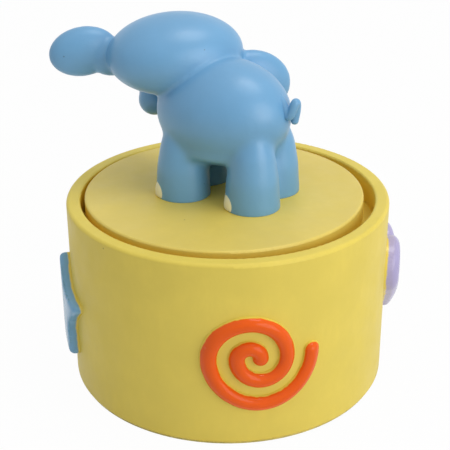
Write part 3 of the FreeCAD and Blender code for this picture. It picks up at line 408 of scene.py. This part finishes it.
def copy_of(obj, move):
    """A copy with a mesh of its own, moved to its place."""
    copy = obj.copy()
    copy.data = obj.data.copy()
    bpy.context.scene.collection.objects.link(copy)
    copy.data.transform(move)
    return copy


def blend_skin(obj, voxel, rounds, factor=0.5):
    """Melts joined lumps into one skin and softens the valleys between them."""
    refine(obj, "REMESH", mode="VOXEL", voxel_size=voxel, use_smooth_shade=True)
    if rounds:
        refine(obj, "SMOOTH", factor=factor, iterations=rounds)


def hand_over(obj, body, slot, *nodes):
    """Paints a finished piece and puts it on its body in place of the nodes it stands for."""
    obj.data.materials.clear()
    obj.data.materials.append(paint(bpy.context.scene, slot))
    pick_only(obj)
    bpy.ops.object.shade_smooth()
    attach(obj, body)
    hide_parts(*nodes)


def lump(name, middle, half, turn=Matrix.Identity(3)):
    """An oval blank at its place."""
    bpy.ops.object.select_all(action="DESELECT")
    bpy.ops.mesh.primitive_uv_sphere_add(segments=64, ring_count=32, radius=1.0, location=middle,
                                         rotation=turn.to_euler(), scale=half)
    return named(name)


def bent_rod(name, bends, girths, radius, order, steps, rounding):
    """A round rod drawn along its bends, with a ball at its tip."""
    bpy.ops.object.select_all(action="DESELECT")
    bpy.ops.curve.primitive_nurbs_path_add()
    path = bpy.context.object
    path.data.splines.remove(path.data.splines[0])
    line = path.data.splines.new("NURBS")
    line.points.add(len(bends) - 1)
    for point, bend, girth in zip(line.points, bends, girths):
        point.co = (*bend, 1.0)
        point.radius = girth
    line.order_u = order
    line.use_endpoint_u = True
    line.resolution_u = steps
    path.data.bevel_depth = radius
    path.data.bevel_resolution = rounding
    path.data.use_fill_caps = True
    pick_only(path)
    bpy.ops.object.convert(target="MESH")
    rod = named(name)
    return join(rod, lump("tip", bends[-1], [radius * girths[-1]] * 3))


def upright_plate(name, corners, radius):
    """A flat plate round the origin in the XZ plane."""
    bpy.ops.object.select_all(action="DESELECT")
    bpy.ops.mesh.primitive_circle_add(vertices=corners, radius=radius, fill_type="NGON",
                                      rotation=(radians(90), 0, 0))
    return named(name)


def puff_up(obj, proud, edge, corner=0.0):
    """Raises a plate to a cushion: a wall with round corners, then rings drawn in as it rises."""
    start_edit(obj)
    bpy.ops.mesh.select_all(action="SELECT")
    bpy.ops.transform.translate(value=(0, ROOT_DEPTH, 0))
    wall = -ROOT_DEPTH - proud * WALL_SHARE
    bpy.ops.mesh.extrude_region_move(TRANSFORM_OT_translate={"value": (0, wall, 0)})
    if corner:
        pick_edges(obj, lambda first, second: abs((first - second).normalized().y) > ALIGNED)
        bpy.ops.mesh.bevel(offset=corner, segments=6, affect="EDGES")
    pick_points(obj, lambda at: at.y < -proud / 2)
    for inset, rise in CUSHION_RINGS:
        bpy.ops.mesh.inset(thickness=edge * inset)
        bpy.ops.transform.translate(value=(0, -proud * rise, 0))
    end_edit()
    face_outwards(obj)


def press_on_drum(obj, turn, height):
    """Lays a relief, modelled round the origin in the XZ plane, on the drum's side."""
    rise = obj.data.attributes.new(RISE, "FLOAT", "POINT")
    rise.data.foreach_set("value", [-point.co.y for point in obj.data.vertices])
    for point in obj.data.vertices:
        x, y, z = point.co
        skin = sqrt(drum_radius ** 2 - x ** 2)
        point.co = about_z(turn) @ Vector((x, y - skin, z + height))
    obj.data.update()


def on_disc(point):
    """A place given from the spindle's axis and the disc's top."""
    return pivot + Vector(point)


def about_z(turn):
    return Matrix.Rotation(turn, 3, "Z")


def feet(shape):
    """Where the four feet stand, before the body is turned."""
    return [(forward, side, 0) for forward in (-shape.hind_legs, shape.front_legs)
            for side in (-shape.leg_side, shape.leg_side)]


# Finishes
def new_finish(name):
    material = bpy.data.materials.new(name)
    material.use_nodes = True
    tree = material.node_tree
    tree.nodes.clear()
    output = tree.nodes.new("ShaderNodeOutputMaterial")
    shader = tree.nodes.new("ShaderNodeBsdfPrincipled")
    tree.links.new(shader.outputs["BSDF"], output.inputs["Surface"])
    return material, tree, shader


def node(tree, kind, **settings):
    made = tree.nodes.new(kind)
    for name, value in settings.items():
        setattr(made, name, value)
    return made


def feed(tree, target, value):
    """Links a socket or sets a plain value."""
    if isinstance(value, bpy.types.NodeSocket):
        tree.links.new(value, target)
    else:
        target.default_value = value


def noise(tree, scale, detail=3.0, roughness=0.55, stretch=(1, 1, 1)):
    coordinates = node(tree, "ShaderNodeTexCoord")
    mapping = node(tree, "ShaderNodeMapping")
    mapping.inputs["Scale"].default_value = stretch
    tree.links.new(coordinates.outputs["Object"], mapping.inputs["Vector"])
    texture = node(tree, "ShaderNodeTexNoise")
    texture.inputs["Scale"].default_value = scale
    texture.inputs["Detail"].default_value = detail
    texture.inputs["Roughness"].default_value = roughness
    tree.links.new(mapping.outputs["Vector"], texture.inputs["Vector"])
    return texture.outputs["Fac"]


def spread(tree, value, ends, low=0.0, high=1.0):
    """Spreads the part of a value between its ends over a new range."""
    made = node(tree, "ShaderNodeMapRange")
    made.inputs["From Min"].default_value, made.inputs["From Max"].default_value = ends
    made.inputs["To Min"].default_value = low
    made.inputs["To Max"].default_value = high
    tree.links.new(value, made.inputs["Value"])
    return made.outputs["Result"]


def sums(tree, operation, first, second):
    made = node(tree, "ShaderNodeMath", operation=operation)
    feed(tree, made.inputs[0], first)
    feed(tree, made.inputs[1], second)
    return made.outputs["Value"]


def mix(tree, factor, first, second):
    """Blends two colours. The numbers are the colour sockets of the node."""
    made = node(tree, "ShaderNodeMix", data_type="RGBA", blend_type="MIX")
    feed(tree, made.inputs[0], factor)
    feed(tree, made.inputs[6], first)
    feed(tree, made.inputs[7], second)
    return made.outputs[2]


def rgba(rgb, gain=1.0):
    return (*(min(part * gain, 1.0) for part in rgb), 1.0)


def specks(tree, scale, size, share):
    """Small dots: in some cells of a pattern, a spot round the cell's middle."""
    coordinates = node(tree, "ShaderNodeTexCoord")
    cells = node(tree, "ShaderNodeTexVoronoi")
    cells.inputs["Scale"].default_value = scale
    tree.links.new(coordinates.outputs["Object"], cells.inputs["Vector"])
    parts = node(tree, "ShaderNodeSeparateColor")
    tree.links.new(cells.outputs["Color"], parts.inputs["Color"])
    spot = sums(tree, "LESS_THAN", cells.outputs["Distance"], size)
    chosen = sums(tree, "LESS_THAN", parts.outputs["Red"], share)
    return sums(tree, "MULTIPLY", spot, chosen)


def bump(tree, shader, *layers):
    """Stacks surface textures: each layer is a value, its height and its strength."""
    normal = None
    for value, height, strength in layers:
        made = node(tree, "ShaderNodeBump")
        made.inputs["Distance"].default_value = height
        made.inputs["Strength"].default_value = strength
        tree.links.new(value, made.inputs["Height"])
        if normal is not None:
            tree.links.new(normal, made.inputs["Normal"])
        normal = made.outputs["Normal"]
    tree.links.new(normal, shader.inputs["Normal"])


def edges(tree, ends, strength):
    """A mask of edges, or of creases where the ends run downwards."""
    geometry = node(tree, "ShaderNodeNewGeometry")
    return sums(tree, "MULTIPLY", spread(tree, geometry.outputs["Pointiness"], ends), strength)


def cast_paint(name, rgb, dullness, wear=0.0, shine=0.3, ground=None, painted_bounce=False):
    """Brushed-on paint over cast resin: cloudy colour, dust specks and a soft orange peel.

    Worn paint is thin on edges, and creases get painted shade. A ground colour shows at the foot of
    a relief, where the brush stops short of the drum. Grooves get painted bounce light, a warmer,
    brighter colour."""
    material, tree, shader = new_finish(name)
    cloud = spread(tree, noise(tree, PAINT_CLOUD), SOFT_ENDS)
    tone = mix(tree, cloud, rgba(rgb, gain=0.97), rgba(rgb, gain=1.03))
    strokes = noise(tree, PAINT_STREAK, detail=2.0, roughness=0.6, stretch=(1, 1, 0.35))
    tone = mix(tree, spread(tree, strokes, WIDE_ENDS, high=0.5), tone, rgba(rgb, gain=0.97))
    if wear:
        thin = [THIN_COLOUR * part + THIN_RESIN for part in rgb]
        tone = mix(tree, edges(tree, WORN_ENDS, wear), tone, rgba(thin))
        # Painted shade: creases are darkened to six tenths of the paint's colour
        tone = mix(tree, edges(tree, CREASE_ENDS, CREASE_SHADE), tone, rgba(rgb, gain=0.6))
    dust = specks(tree, PAINT_DUST, size=0.035, share=0.22)
    tone = mix(tree, sums(tree, "MULTIPLY", dust, DUST_SHADE), tone, rgba(rgb, gain=0.25))
    # Painted bounce light: near a groove's other wall the colour turns warmer and brighter, in
    # place of light thrown back by the yellow walls
    if painted_bounce:
        groove = node(tree, "ShaderNodeAmbientOcclusion", samples=8)
        groove.inputs["Distance"].default_value = BOUNCE_REACH
        bounce_mask = spread(tree, groove.outputs["AO"], BOUNCE_ENDS, low=BOUNCE_STRENGTH, high=0.0)
        tone = mix(tree, bounce_mask, tone, rgba([part * gain for part, gain in zip(rgb, BOUNCE_GAIN)]))
    if ground:
        rise = node(tree, "ShaderNodeAttribute", attribute_name=RISE)
        wobble = spread(tree, noise(tree, BRUSH_LINE, detail=2.0), WIDE_ENDS,
                        low=-BRUSH_WOBBLE, high=BRUSH_WOBBLE)
        line = sums(tree, "ADD", rise.outputs["Fac"], wobble)
        tone = mix(tree, spread(tree, line, BRUSH_ENDS), rgba(ground), tone)
    tree.links.new(tone, shader.inputs["Base Color"])
    dull = spread(tree, noise(tree, PAINT_SHEEN, detail=4.0), WIDE_ENDS,
                  low=dullness - 0.05, high=dullness + 0.07)
    tree.links.new(dull, shader.inputs["Roughness"])
    shader.inputs["Specular IOR Level"].default_value = shine
    bump(tree, shader, (noise(tree, PAINT_PEEL, detail=2.0), 0.0006, 0.16),
         (noise(tree, PAINT_GRIT), 0.00012, 0.22))
    return material


def relief_paint(name, rgb, ground):
    return cast_paint(name, rgb, dullness=0.20, wear=0.1, shine=0.35, ground=ground)


def felt_finish(name, rgb):
    """Matted fibres with pale tips."""
    material, tree, shader = new_finish(name)
    fibre = noise(tree, FELT_FIBRE, detail=4.0, roughness=0.7)
    cloud = spread(tree, noise(tree, FELT_CLOUD), SOFT_ENDS)
    tone = mix(tree, cloud, rgba(rgb, gain=0.75), rgba(rgb, gain=1.3))
    tone = mix(tree, spread(tree, fibre, HIGH_ENDS, high=0.6), tone, rgba(rgb, gain=2.2))
    tree.links.new(tone, shader.inputs["Base Color"])
    tree.links.new(spread(tree, fibre, WIDE_ENDS, low=0.85), shader.inputs["Roughness"])
    shader.inputs["Sheen Weight"].default_value = 0.4
    bump(tree, shader, (fibre, 0.0005, 0.8))
    return material


def moulded_finish(name, rgb, dullness):
    """Moulded plastic, a little cloudy, with paler edges."""
    material, tree, shader = new_finish(name)
    cloud = spread(tree, noise(tree, MOULD_CLOUD), WIDE_ENDS)
    tone = mix(tree, cloud, rgba(rgb, gain=0.93), rgba(rgb, gain=1.05))
    tone = mix(tree, edges(tree, WORN_ENDS, PLASTIC_EDGE), tone, rgba(rgb, gain=1.25))
    tree.links.new(tone, shader.inputs["Base Color"])
    dull = spread(tree, noise(tree, MOULD_SHEEN), WIDE_ENDS,
                  low=dullness - 0.06, high=dullness + 0.08)
    tree.links.new(dull, shader.inputs["Roughness"])
    bump(tree, shader, (noise(tree, MOULD_GRIT, detail=2.0), 0.0001, 0.35))
    return material


def metal_finish(name, rgb, dullness, brushed=(1, 1, 1), stain=0.25):
    """Bare metal with brush marks, a dull film and bright edges."""
    material, tree, shader = new_finish(name)
    film = spread(tree, noise(tree, METAL_FILM, detail=4.0), HIGH_ENDS, high=stain)
    tone = mix(tree, film, rgba(rgb), rgba(rgb, gain=0.62))
    tone = mix(tree, edges(tree, BRIGHT_ENDS, METAL_EDGE), tone, rgba(rgb, gain=1.3))
    tree.links.new(tone, shader.inputs["Base Color"])
    marks = noise(tree, METAL_MARKS, roughness=0.6, stretch=brushed)
    dull = spread(tree, marks, WIDE_ENDS, low=dullness - 0.08, high=dullness + 0.12)
    tree.links.new(dull, shader.inputs["Roughness"])
    shader.inputs["Metallic"].default_value = 1.0
    bump(tree, shader, (marks, 0.00008, 0.3))
    return material


def paint(scene, slot):
    """The finish of a slot, made when it is first asked for."""
    name = slot + "_finish"
    found = bpy.data.materials.get(name)
    if found:
        return found
    colours = scene.figurine_colours
    makers = {
        # The drum and the disc get painted bounce light in their grooves
        "drum_paint": lambda: cast_paint(name, colours.drum, dullness=0.46, painted_bounce=True),
        "disc_paint": lambda: cast_paint(name, colours.disc, dullness=0.44, shine=0.5, painted_bounce=True),
        "elephant_paint": lambda: cast_paint(name, colours.elephant, dullness=0.35, wear=0.1,
                                             shine=0.6),
        "swirl_paint": lambda: cast_paint(name, colours.swirl, dullness=0.16, wear=0.05,
                                          shine=0.2, ground=colours.drum),
        "star_paint": lambda: relief_paint(name, colours.star, colours.drum),
        "heart_paint": lambda: relief_paint(name, colours.heart, colours.drum),
        "flower_paint": lambda: relief_paint(name, colours.flower, colours.drum),
        "nail_paint": lambda: cast_paint(name, colours.nail, dullness=0.42, wear=0.05),
        "eye_paint": lambda: cast_paint(name, EYE_BLACK, dullness=0.12, shine=0.5),
        "felt": lambda: felt_finish(name, FELT_YELLOW),
        "plate_plastic": lambda: moulded_finish(name, PLATE_BUFF, dullness=0.5),
        "nylon": lambda: moulded_finish(name, NYLON_WHITE, dullness=0.42),
        "steel": lambda: metal_finish(name, STEEL_GREY, dullness=0.3, brushed=(1, 1, 6)),
        "blued_steel": lambda: metal_finish(name, STEEL_BLUE, dullness=0.28, brushed=(1, 1, 8)),
        "cast_metal": lambda: metal_finish(name, CAST_GREY, dullness=0.52),
        "brass": lambda: metal_finish(name, BRASS_GOLD, dullness=0.28, brushed=(6, 1, 1)),
        "key_metal": lambda: metal_finish(name, KEY_SILVER, dullness=0.22, stain=0.15),
    }
    return makers[slot]()


# Operators
class FIGURINE_OT_paint_solids(bpy.types.Operator):
    """Gives every carried-over solid the finish of its slot"""
    bl_idname = "figurine.paint_solids"
    bl_label = "Paint Solids"

    def execute(self, context):
        for part in frame["record"]["subparts"]:
            solid = frame["nodes"][part["node"]]
            solid.data.materials.clear()
            solid.data.materials.append(paint(context.scene, part["material_slot"]))
        return {"FINISHED"}


class FIGURINE_OT_cast_elephant(bpy.types.Operator):
    """Models the elephant's body, legs, head, ears and trunk as one casting"""
    bl_idname = "figurine.cast_elephant"
    bl_label = "Cast Elephant"

    def execute(self, context):
        shape = context.scene.figurine_elephant
        casting = join(self.belly(shape), self.flanks(shape), *self.legs(shape))
        blend_skin(casting, shape.skin_voxel, shape.limb_blend)
        left = self.ear(shape, shape.left_ear, shape.left_ear_half, shape.left_ear_yaw,
                        shape.left_ear_tilt)
        right = self.ear(shape, shape.right_ear, shape.right_ear_half, shape.right_ear_yaw,
                         shape.right_ear_tilt)
        root = self.ear(shape, shape.ear_root, shape.ear_root_half, shape.left_ear_yaw, 0.0)
        join(casting, self.head(shape), left, root, right, self.trunk(shape))
        blend_skin(casting, shape.skin_voxel, shape.skin_blend)
        slice_off(casting, pivot, (0, 0, 1), SKIN_CUT)
        casting.name = "elephant_casting"
        hand_over(casting, "turntable", "elephant_paint", "elephant_body", "elephant_head",
                  "left_ear", "right_ear", "elephant_trunk")
        return {"FINISHED"}

    def belly(self, shape):
        half = (shape.body_half_length, shape.body_radius, shape.body_radius)
        return lump("belly", on_disc((0, 0, shape.body_middle)), half, about_z(shape.body_yaw))

    def flanks(self, shape):
        """An oval drum with a round lower edge that carries the sides down between the legs."""
        middle = on_disc((0, 0, (shape.flank_bottom + shape.flank_top) / 2))
        size = (shape.flank_length, shape.flank_width, shape.flank_top - shape.flank_bottom)
        bpy.ops.object.select_all(action="DESELECT")
        bpy.ops.mesh.primitive_cylinder_add(vertices=64, radius=1.0, depth=1.0, location=middle,
                                            rotation=(0, 0, shape.body_yaw), scale=size)
        block = named("flanks")
        low = on_disc((0, 0, shape.flank_bottom)).z + shape.flank_round / 2
        start_edit(block)
        pick_edges(block, lambda first, second: max(first.z, second.z) < low)
        bpy.ops.mesh.bevel(offset=shape.flank_round, segments=5, affect="EDGES")
        end_edit()
        return block

    def legs(self, shape):
        """One leg is drawn up from below the disc, then copied to the other corners."""
        bpy.ops.object.select_all(action="DESELECT")
        bpy.ops.mesh.primitive_circle_add(vertices=ROUND_SIDES, radius=shape.foot_radius,
                                          fill_type="NGON", location=on_disc((0, 0, -LEG_SINK)))
        leg = named("leg")
        start_edit(leg)
        bpy.ops.mesh.select_all(action="SELECT")
        rings = ((0.0, shape.foot_radius), (shape.ankle, shape.leg_radius),
                 (shape.thigh, shape.thigh_radius), (shape.shoulder, shape.shoulder_radius))
        reach, before = -LEG_SINK, shape.foot_radius
        for rise, radius in rings:
            step = {"value": (0, 0, rise - reach)}
            bpy.ops.mesh.extrude_region_move(TRANSFORM_OT_translate=step)
            share = radius / before
            bpy.ops.transform.resize(value=(share, share, 1),
                                     center_override=on_disc((0, 0, rise)))
            reach, before = rise, radius
        end_edit()
        face_outwards(leg)
        turn = about_z(shape.body_yaw)
        legs = [copy_of(leg, Matrix.Translation(turn @ Vector(foot))) for foot in feet(shape)]
        bpy.data.objects.remove(leg)
        return legs

    def head(self, shape):
        return lump("head", on_disc(shape.head_middle), shape.head_half, about_z(shape.head_yaw))

    def ear(self, shape, offset, half, yaw, tilt):
        turn = about_z(yaw) @ Matrix.Rotation(tilt, 3, "X")
        return lump("ear", on_disc(Vector(shape.head_middle) + Vector(offset)), half, turn)

    def trunk(self, shape):
        """A rod bent from the face down."""
        turn = about_z(shape.head_yaw)
        head = Vector(shape.head_middle)
        bends = [on_disc(head + turn @ Vector(bend)) for bend in TRUNK_BENDS]
        return bent_rod("trunk", bends, [1.0] * len(bends), shape.trunk_radius,
                        order=3, steps=12, rounding=8)


class FIGURINE_OT_curl_tail(bpy.types.Operator):
    """Models the small curled tail on the rump"""
    bl_idname = "figurine.curl_tail"
    bl_label = "Curl Tail"

    def execute(self, context):
        shape = context.scene.figurine_elephant
        turn = about_z(shape.body_yaw)
        bends = [on_disc(turn @ Vector(bend)) for bend in TAIL_BENDS]
        tail = bent_rod("curled_tail", bends, TAIL_GIRTHS, shape.tail_radius,
                        order=4, steps=10, rounding=6)
        blend_skin(tail, voxel=0.00022, rounds=5)
        hand_over(tail, "turntable", "elephant_paint", "elephant_tail")
        return {"FINISHED"}


class FIGURINE_OT_shape_nails(bpy.types.Operator):
    """Models one toenail and copies it three times to each foot"""
    bl_idname = "figurine.shape_nails"
    bl_label = "Shape Nails"

    def execute(self, context):
        shape = context.scene.figurine_elephant
        share = shape.nail_middle / shape.ankle
        skin = shape.foot_radius + (shape.leg_radius - shape.foot_radius) * share
        depth = shape.nail_half[0]
        middle = (skin + shape.nail_proud - depth, 0, shape.nail_middle)
        nail = lump("nail", middle, shape.nail_half)
        slice_off(nail, (0, 0, shape.nail_bottom), (0, 0, 1), FINE_CUT)
        slice_off(nail, (skin - depth / 2, 0, 0), (1, 0, 0), FINE_CUT)
        body = Matrix.Translation(pivot) @ about_z(shape.body_yaw).to_4x4()
        nails = []
        for foot in feet(shape):
            for toe in (-shape.nail_spread, 0.0, shape.nail_spread):
                spot = Matrix.Translation(foot) @ Matrix.Rotation(toe, 4, "Z")
                nails.append(copy_of(nail, body @ spot))
        bpy.data.objects.remove(nail)
        nails = join(*nails)
        nails.name = "painted_nails"
        hand_over(nails, "turntable", "nail_paint", "toenails")
        return {"FINISHED"}


class FIGURINE_OT_set_eyes(bpy.types.Operator):
    """Sets two domed eye beads into the face"""
    bl_idname = "figurine.set_eyes"
    bl_label = "Set Eyes"

    def execute(self, context):
        shape = context.scene.figurine_elephant
        turn = about_z(shape.head_yaw)
        half = shape.head_half
        form = [shape.eye_radius * share for share in EYE_FORM]
        beads = []
        for side in (-EYE_SIDE, EYE_SIDE):
            depth = half[0] * sqrt(1 - (side / half[1]) ** 2 - (EYE_RISE / half[2]) ** 2)
            normal = Vector((depth / half[0] ** 2, side / half[1] ** 2, EYE_RISE / half[2] ** 2))
            facing = turn @ normal.normalized().to_track_quat("X", "Z").to_matrix()
            spot = turn @ Vector((depth - EYE_SINK, side, EYE_RISE))
            at = on_disc(Vector(shape.head_middle) + spot)
            bead = lump("bead", at, form, facing)
            out = facing @ Vector((1, 0, 0))
            slice_off(bead, at - out * shape.eye_radius * EYE_BACK, out, FINE_CUT)
            beads.append(bead)
        eyes = join(*beads)
        eyes.name = "eye_beads"
        hand_over(eyes, "turntable", "eye_paint", "eyes")
        return {"FINISHED"}


class FIGURINE_OT_roll_swirl(bpy.types.Operator):
    """Rolls a round bead into a spiral of half turns and lays it on the drum"""
    bl_idname = "figurine.roll_swirl"
    bl_label = "Roll Swirl"

    def execute(self, context):
        shape = context.scene.figurine_relief
        half = shape.swirl_stroke / 2
        shift = SWIRL_SHIFT * shape.swirl_step
        start = Vector((shape.swirl_inner - shift, 0, 0))
        bpy.ops.object.select_all(action="DESELECT")
        bpy.ops.mesh.primitive_circle_add(vertices=32, radius=half, location=start)
        bead = named("swirl_bead")
        start_edit(bead)
        bpy.ops.mesh.select_all(action="SELECT")
        radius = shape.swirl_inner
        for turn in range(SWIRL_HALF_TURNS):
            back = turn % 2
            middle = Vector((back * shape.swirl_step - shift, 0, 0))
            bpy.ops.mesh.spin(steps=30, angle=pi, center=middle, axis=(0, 1, 0))
            end = Vector((middle.x + (radius if back else -radius), 0, 0))
            radius += shape.swirl_step
        end_edit()
        join(bead, *(lump("tip", spot, [half] * 3) for spot in (start, end)))
        blend_skin(bead, voxel=0.00035, rounds=4)
        press_on_drum(bead, shape.swirl_angle, shape.swirl_height)
        hand_over(bead, "drum", "swirl_paint", "relief_swirl")
        return {"FINISHED"}


class FIGURINE_OT_cut_star(bpy.types.Operator):
    """Cuts a five-pointed star, cushions it and lays it on the drum"""
    bl_idname = "figurine.cut_star"
    bl_label = "Cut Star"

    def execute(self, context):
        shape = context.scene.figurine_relief
        star = upright_plate("star_relief", 2 * STAR_TIPS, shape.star_radius)
        tips = []
        for arm in range(STAR_TIPS):
            way = shape.star_turn + arm * radians(360 / STAR_TIPS)
            tips.append(Vector((cos(way), 0, sin(way))))
        first = star.data.vertices[0].co.normalized()
        star.data.transform(first.rotation_difference(tips[0]).to_matrix().to_4x4())
        start_edit(star)
        pick_points(star, lambda at: max(at.normalized().dot(tip) for tip in tips) < ALIGNED)
        share = shape.star_waist / shape.star_radius
        bpy.ops.transform.resize(value=(share, share, share), center_override=(0, 0, 0))
        end_edit()
        puff_up(star, shape.star_proud, edge=0.0013, corner=0.0030)
        blend_skin(star, voxel=0.0004, rounds=6)
        press_on_drum(star, shape.star_angle, shape.star_height)
        hand_over(star, "drum", "star_paint", "relief_star")
        return {"FINISHED"}


class FIGURINE_OT_cut_heart(bpy.types.Operator):
    """Cuts a heart from two round lobes and a square, cushions it and lays it on the drum"""
    bl_idname = "figurine.cut_heart"
    bl_label = "Cut Heart"

    def execute(self, context):
        shape = context.scene.figurine_relief
        corner = sqrt(2) * shape.heart_lobe
        plates = [upright_plate("heart_relief", 4, corner)]
        for side in (-1, 1):
            lobe = upright_plate("lobe", ROUND_SIDES, shape.heart_lobe)
            lobe.data.transform(Matrix.Translation((side * corner / 2, 0, corner / 2)))
            plates.append(lobe)
        for plate in plates:
            puff_up(plate, shape.heart_proud, edge=0.0026)
        heart = join(*plates)
        blend_skin(heart, voxel=0.0004, rounds=12)
        press_on_drum(heart, shape.heart_angle, shape.heart_height)
        hand_over(heart, "drum", "heart_paint", "relief_heart")
        return {"FINISHED"}


class FIGURINE_OT_cut_flower(bpy.types.Operator):
    """Cuts a flower of six petals round a button and lays it on the drum"""
    bl_idname = "figurine.cut_flower"
    bl_label = "Cut Flower"

    def execute(self, context):
        shape = context.scene.figurine_relief
        petal = upright_plate("flower_relief", ROUND_SIDES, shape.flower_petal)
        puff_up(petal, shape.flower_proud * PETAL_PROUD, edge=0.0046)
        reach = Matrix.Translation((0, 0, shape.flower_reach))
        plates = []
        for number in range(FLOWER_PETALS):
            turn = Matrix.Rotation(radians(360 / FLOWER_PETALS * number), 4, "Y")
            plates.append(copy_of(petal, turn @ reach))
        bpy.data.objects.remove(petal)
        button = upright_plate("button", ROUND_SIDES, shape.flower_petal * BUTTON_SIZE)
        puff_up(button, shape.flower_proud * BUTTON_PROUD, edge=0.0040)
        flower = join(*plates, button)
        flower.name = "flower_relief"
        blend_skin(flower, voxel=0.0003, rounds=3)
        press_on_drum(flower, shape.flower_angle, shape.flower_height)
        hand_over(flower, "drum", "flower_paint", "relief_flower")
        return {"FINISHED"}


class FIGURINE_OT_set_stage(bpy.types.Operator):
    """Sets the floor, the lamps, the surrounding light and the camera"""
    bl_idname = "figurine.set_stage"
    bl_label = "Set Stage"

    def execute(self, context):
        setup = context.scene.figurine_stage
        self.floor(setup)
        self.lamp("side_lamp", setup.side_place, setup.side_size, setup.side_power)
        self.lamp("top_lamp", setup.top_place, setup.top_size, setup.top_power)
        self.surroundings(context.scene, setup)
        self.camera(context.scene, setup)
        context.scene.view_settings.view_transform = "Standard"
        return {"FINISHED"}

    def floor(self, setup):
        """Pale paper that the camera sees as white, with the object's shadow on it."""
        bpy.ops.object.select_all(action="DESELECT")
        bpy.ops.mesh.primitive_plane_add(size=FLOOR_SIZE, location=(0, 0, -FLOOR_DROP))
        floor = named("floor")
        material, tree, shader = new_finish("floor_paper")
        cloud = spread(tree, noise(tree, PAPER_CLOUD), WIDE_ENDS)
        tone = mix(tree, cloud, rgba(setup.floor, gain=0.99), rgba(setup.floor, gain=1.01))
        tree.links.new(tone, shader.inputs["Base Color"])
        shader.inputs["Roughness"].default_value = 0.9
        shader.inputs["Specular IOR Level"].default_value = 0.1
        glow = node(tree, "ShaderNodeEmission")
        seen = sums(tree, "MULTIPLY", self.seen_straight(tree), setup.floor_glow)
        output = next(made for made in tree.nodes if made.type == "OUTPUT_MATERIAL")
        self.blend(tree, seen, shader.outputs["BSDF"], glow.outputs["Emission"], output)
        floor.data.materials.append(material)

    def seen_straight(self, tree):
        """1 for what the camera sees, also in a mirror or through glass."""
        path = node(tree, "ShaderNodeLightPath")
        seen = sums(tree, "MAXIMUM", path.outputs["Is Camera Ray"], path.outputs["Is Glossy Ray"])
        return sums(tree, "MAXIMUM", seen, path.outputs["Is Transmission Ray"])

    def blend(self, tree, factor, first, second, output):
        """Mixes two shaders into the output."""
        made = node(tree, "ShaderNodeMixShader")
        tree.links.new(factor, made.inputs["Fac"])
        tree.links.new(first, made.inputs[1])
        tree.links.new(second, made.inputs[2])
        tree.links.new(made.outputs["Shader"], output.inputs["Surface"])

    def lamp(self, name, spot, size, power):
        bpy.ops.object.select_all(action="DESELECT")
        aim = (Vector(LAMP_AIM) - Vector(spot)).to_track_quat("-Z", "Y").to_euler()
        bpy.ops.object.light_add(type="AREA", location=spot, rotation=aim)
        lamp = bpy.context.object
        lamp.name = name
        lamp.data.shape = "DISK"
        lamp.data.size = size
        lamp.data.energy = power

    def surroundings(self, scene, setup):
        """A white tent, brighter overhead than at the sides."""
        world = bpy.data.worlds.new("studio")
        world.use_nodes = True
        tree = world.node_tree
        tree.nodes.clear()
        output = node(tree, "ShaderNodeOutputWorld")
        soft = node(tree, "ShaderNodeBackground")
        white = node(tree, "ShaderNodeBackground")
        for back in (soft, white):
            back.inputs["Color"].default_value = (1, 1, 1, 1)
        coordinates = node(tree, "ShaderNodeTexCoord")
        parts = node(tree, "ShaderNodeSeparateXYZ")
        tree.links.new(coordinates.outputs["Generated"], parts.inputs["Vector"])
        tent = spread(tree, parts.outputs["Z"], (0.0, 1.0), setup.horizon, setup.zenith)
        tree.links.new(tent, soft.inputs["Strength"])
        self.blend(tree, self.seen_straight(tree), soft.outputs["Background"],
                   white.outputs["Background"], output)
        scene.world = world

    def camera(self, scene, setup):
        bpy.ops.object.select_all(action="DESELECT")
        view = Vector(setup.camera_target) - Vector(setup.camera_place)
        roll = Matrix.Rotation(setup.camera_roll, 3, "Z")
        facing = view.to_track_quat("-Z", "Y").to_matrix() @ roll
        bpy.ops.object.camera_add(location=setup.camera_place, rotation=facing.to_euler())
        camera = bpy.context.object
        camera.data.sensor_fit = "AUTO"
        camera.data.sensor_width = SENSOR_WIDTH
        camera.data.lens = setup.lens
        camera.data.clip_start = NEAR_CLIP
        scene.camera = camera


OPERATORS = (
    FIGURINE_OT_paint_solids,
    FIGURINE_OT_cast_elephant,
    FIGURINE_OT_curl_tail,
    FIGURINE_OT_shape_nails,
    FIGURINE_OT_set_eyes,
    FIGURINE_OT_roll_swirl,
    FIGURINE_OT_cut_star,
    FIGURINE_OT_cut_heart,
    FIGURINE_OT_cut_flower,
    FIGURINE_OT_set_stage,
)

SETTINGS = {
    "figurine_elephant": ElephantShape,
    "figurine_relief": ReliefShape,
    "figurine_colours": PaintColours,
    "figurine_stage": StageSetup,
}


class FIGURINE_PT_sidebar(bpy.types.Panel):
    """Lists the figurine's steps and settings"""
    bl_idname = "FIGURINE_PT_sidebar"
    bl_label = "Figurine"
    bl_space_type = "VIEW_3D"
    bl_region_type = "UI"
    bl_category = "Figurine"

    def draw(self, context):
        layout = self.layout
        for operator in OPERATORS:
            layout.operator(operator.bl_idname)
        for group, kind in SETTINGS.items():
            box = layout.box()
            for name in kind.__annotations__:
                box.prop(getattr(context.scene, group), name)


def register():
    for kind in (*SETTINGS.values(), *OPERATORS, FIGURINE_PT_sidebar):
        bpy.utils.register_class(kind)
    for name, kind in SETTINGS.items():
        setattr(bpy.types.Scene, name, PointerProperty(type=kind))


def unregister():
    for name in SETTINGS:
        delattr(bpy.types.Scene, name)
    for kind in reversed((*SETTINGS.values(), *OPERATORS, FIGURINE_PT_sidebar)):
        bpy.utils.unregister_class(kind)


def main():
    register()
    bpy.ops.figurine.paint_solids()
    bpy.ops.figurine.cast_elephant()
    bpy.ops.figurine.curl_tail()
    bpy.ops.figurine.shape_nails()
    bpy.ops.figurine.set_eyes()
    bpy.ops.figurine.roll_swirl()
    bpy.ops.figurine.cut_star()
    bpy.ops.figurine.cut_heart()
    bpy.ops.figurine.cut_flower()
    bpy.ops.figurine.set_stage()


if __name__ == "__main__":
    main()
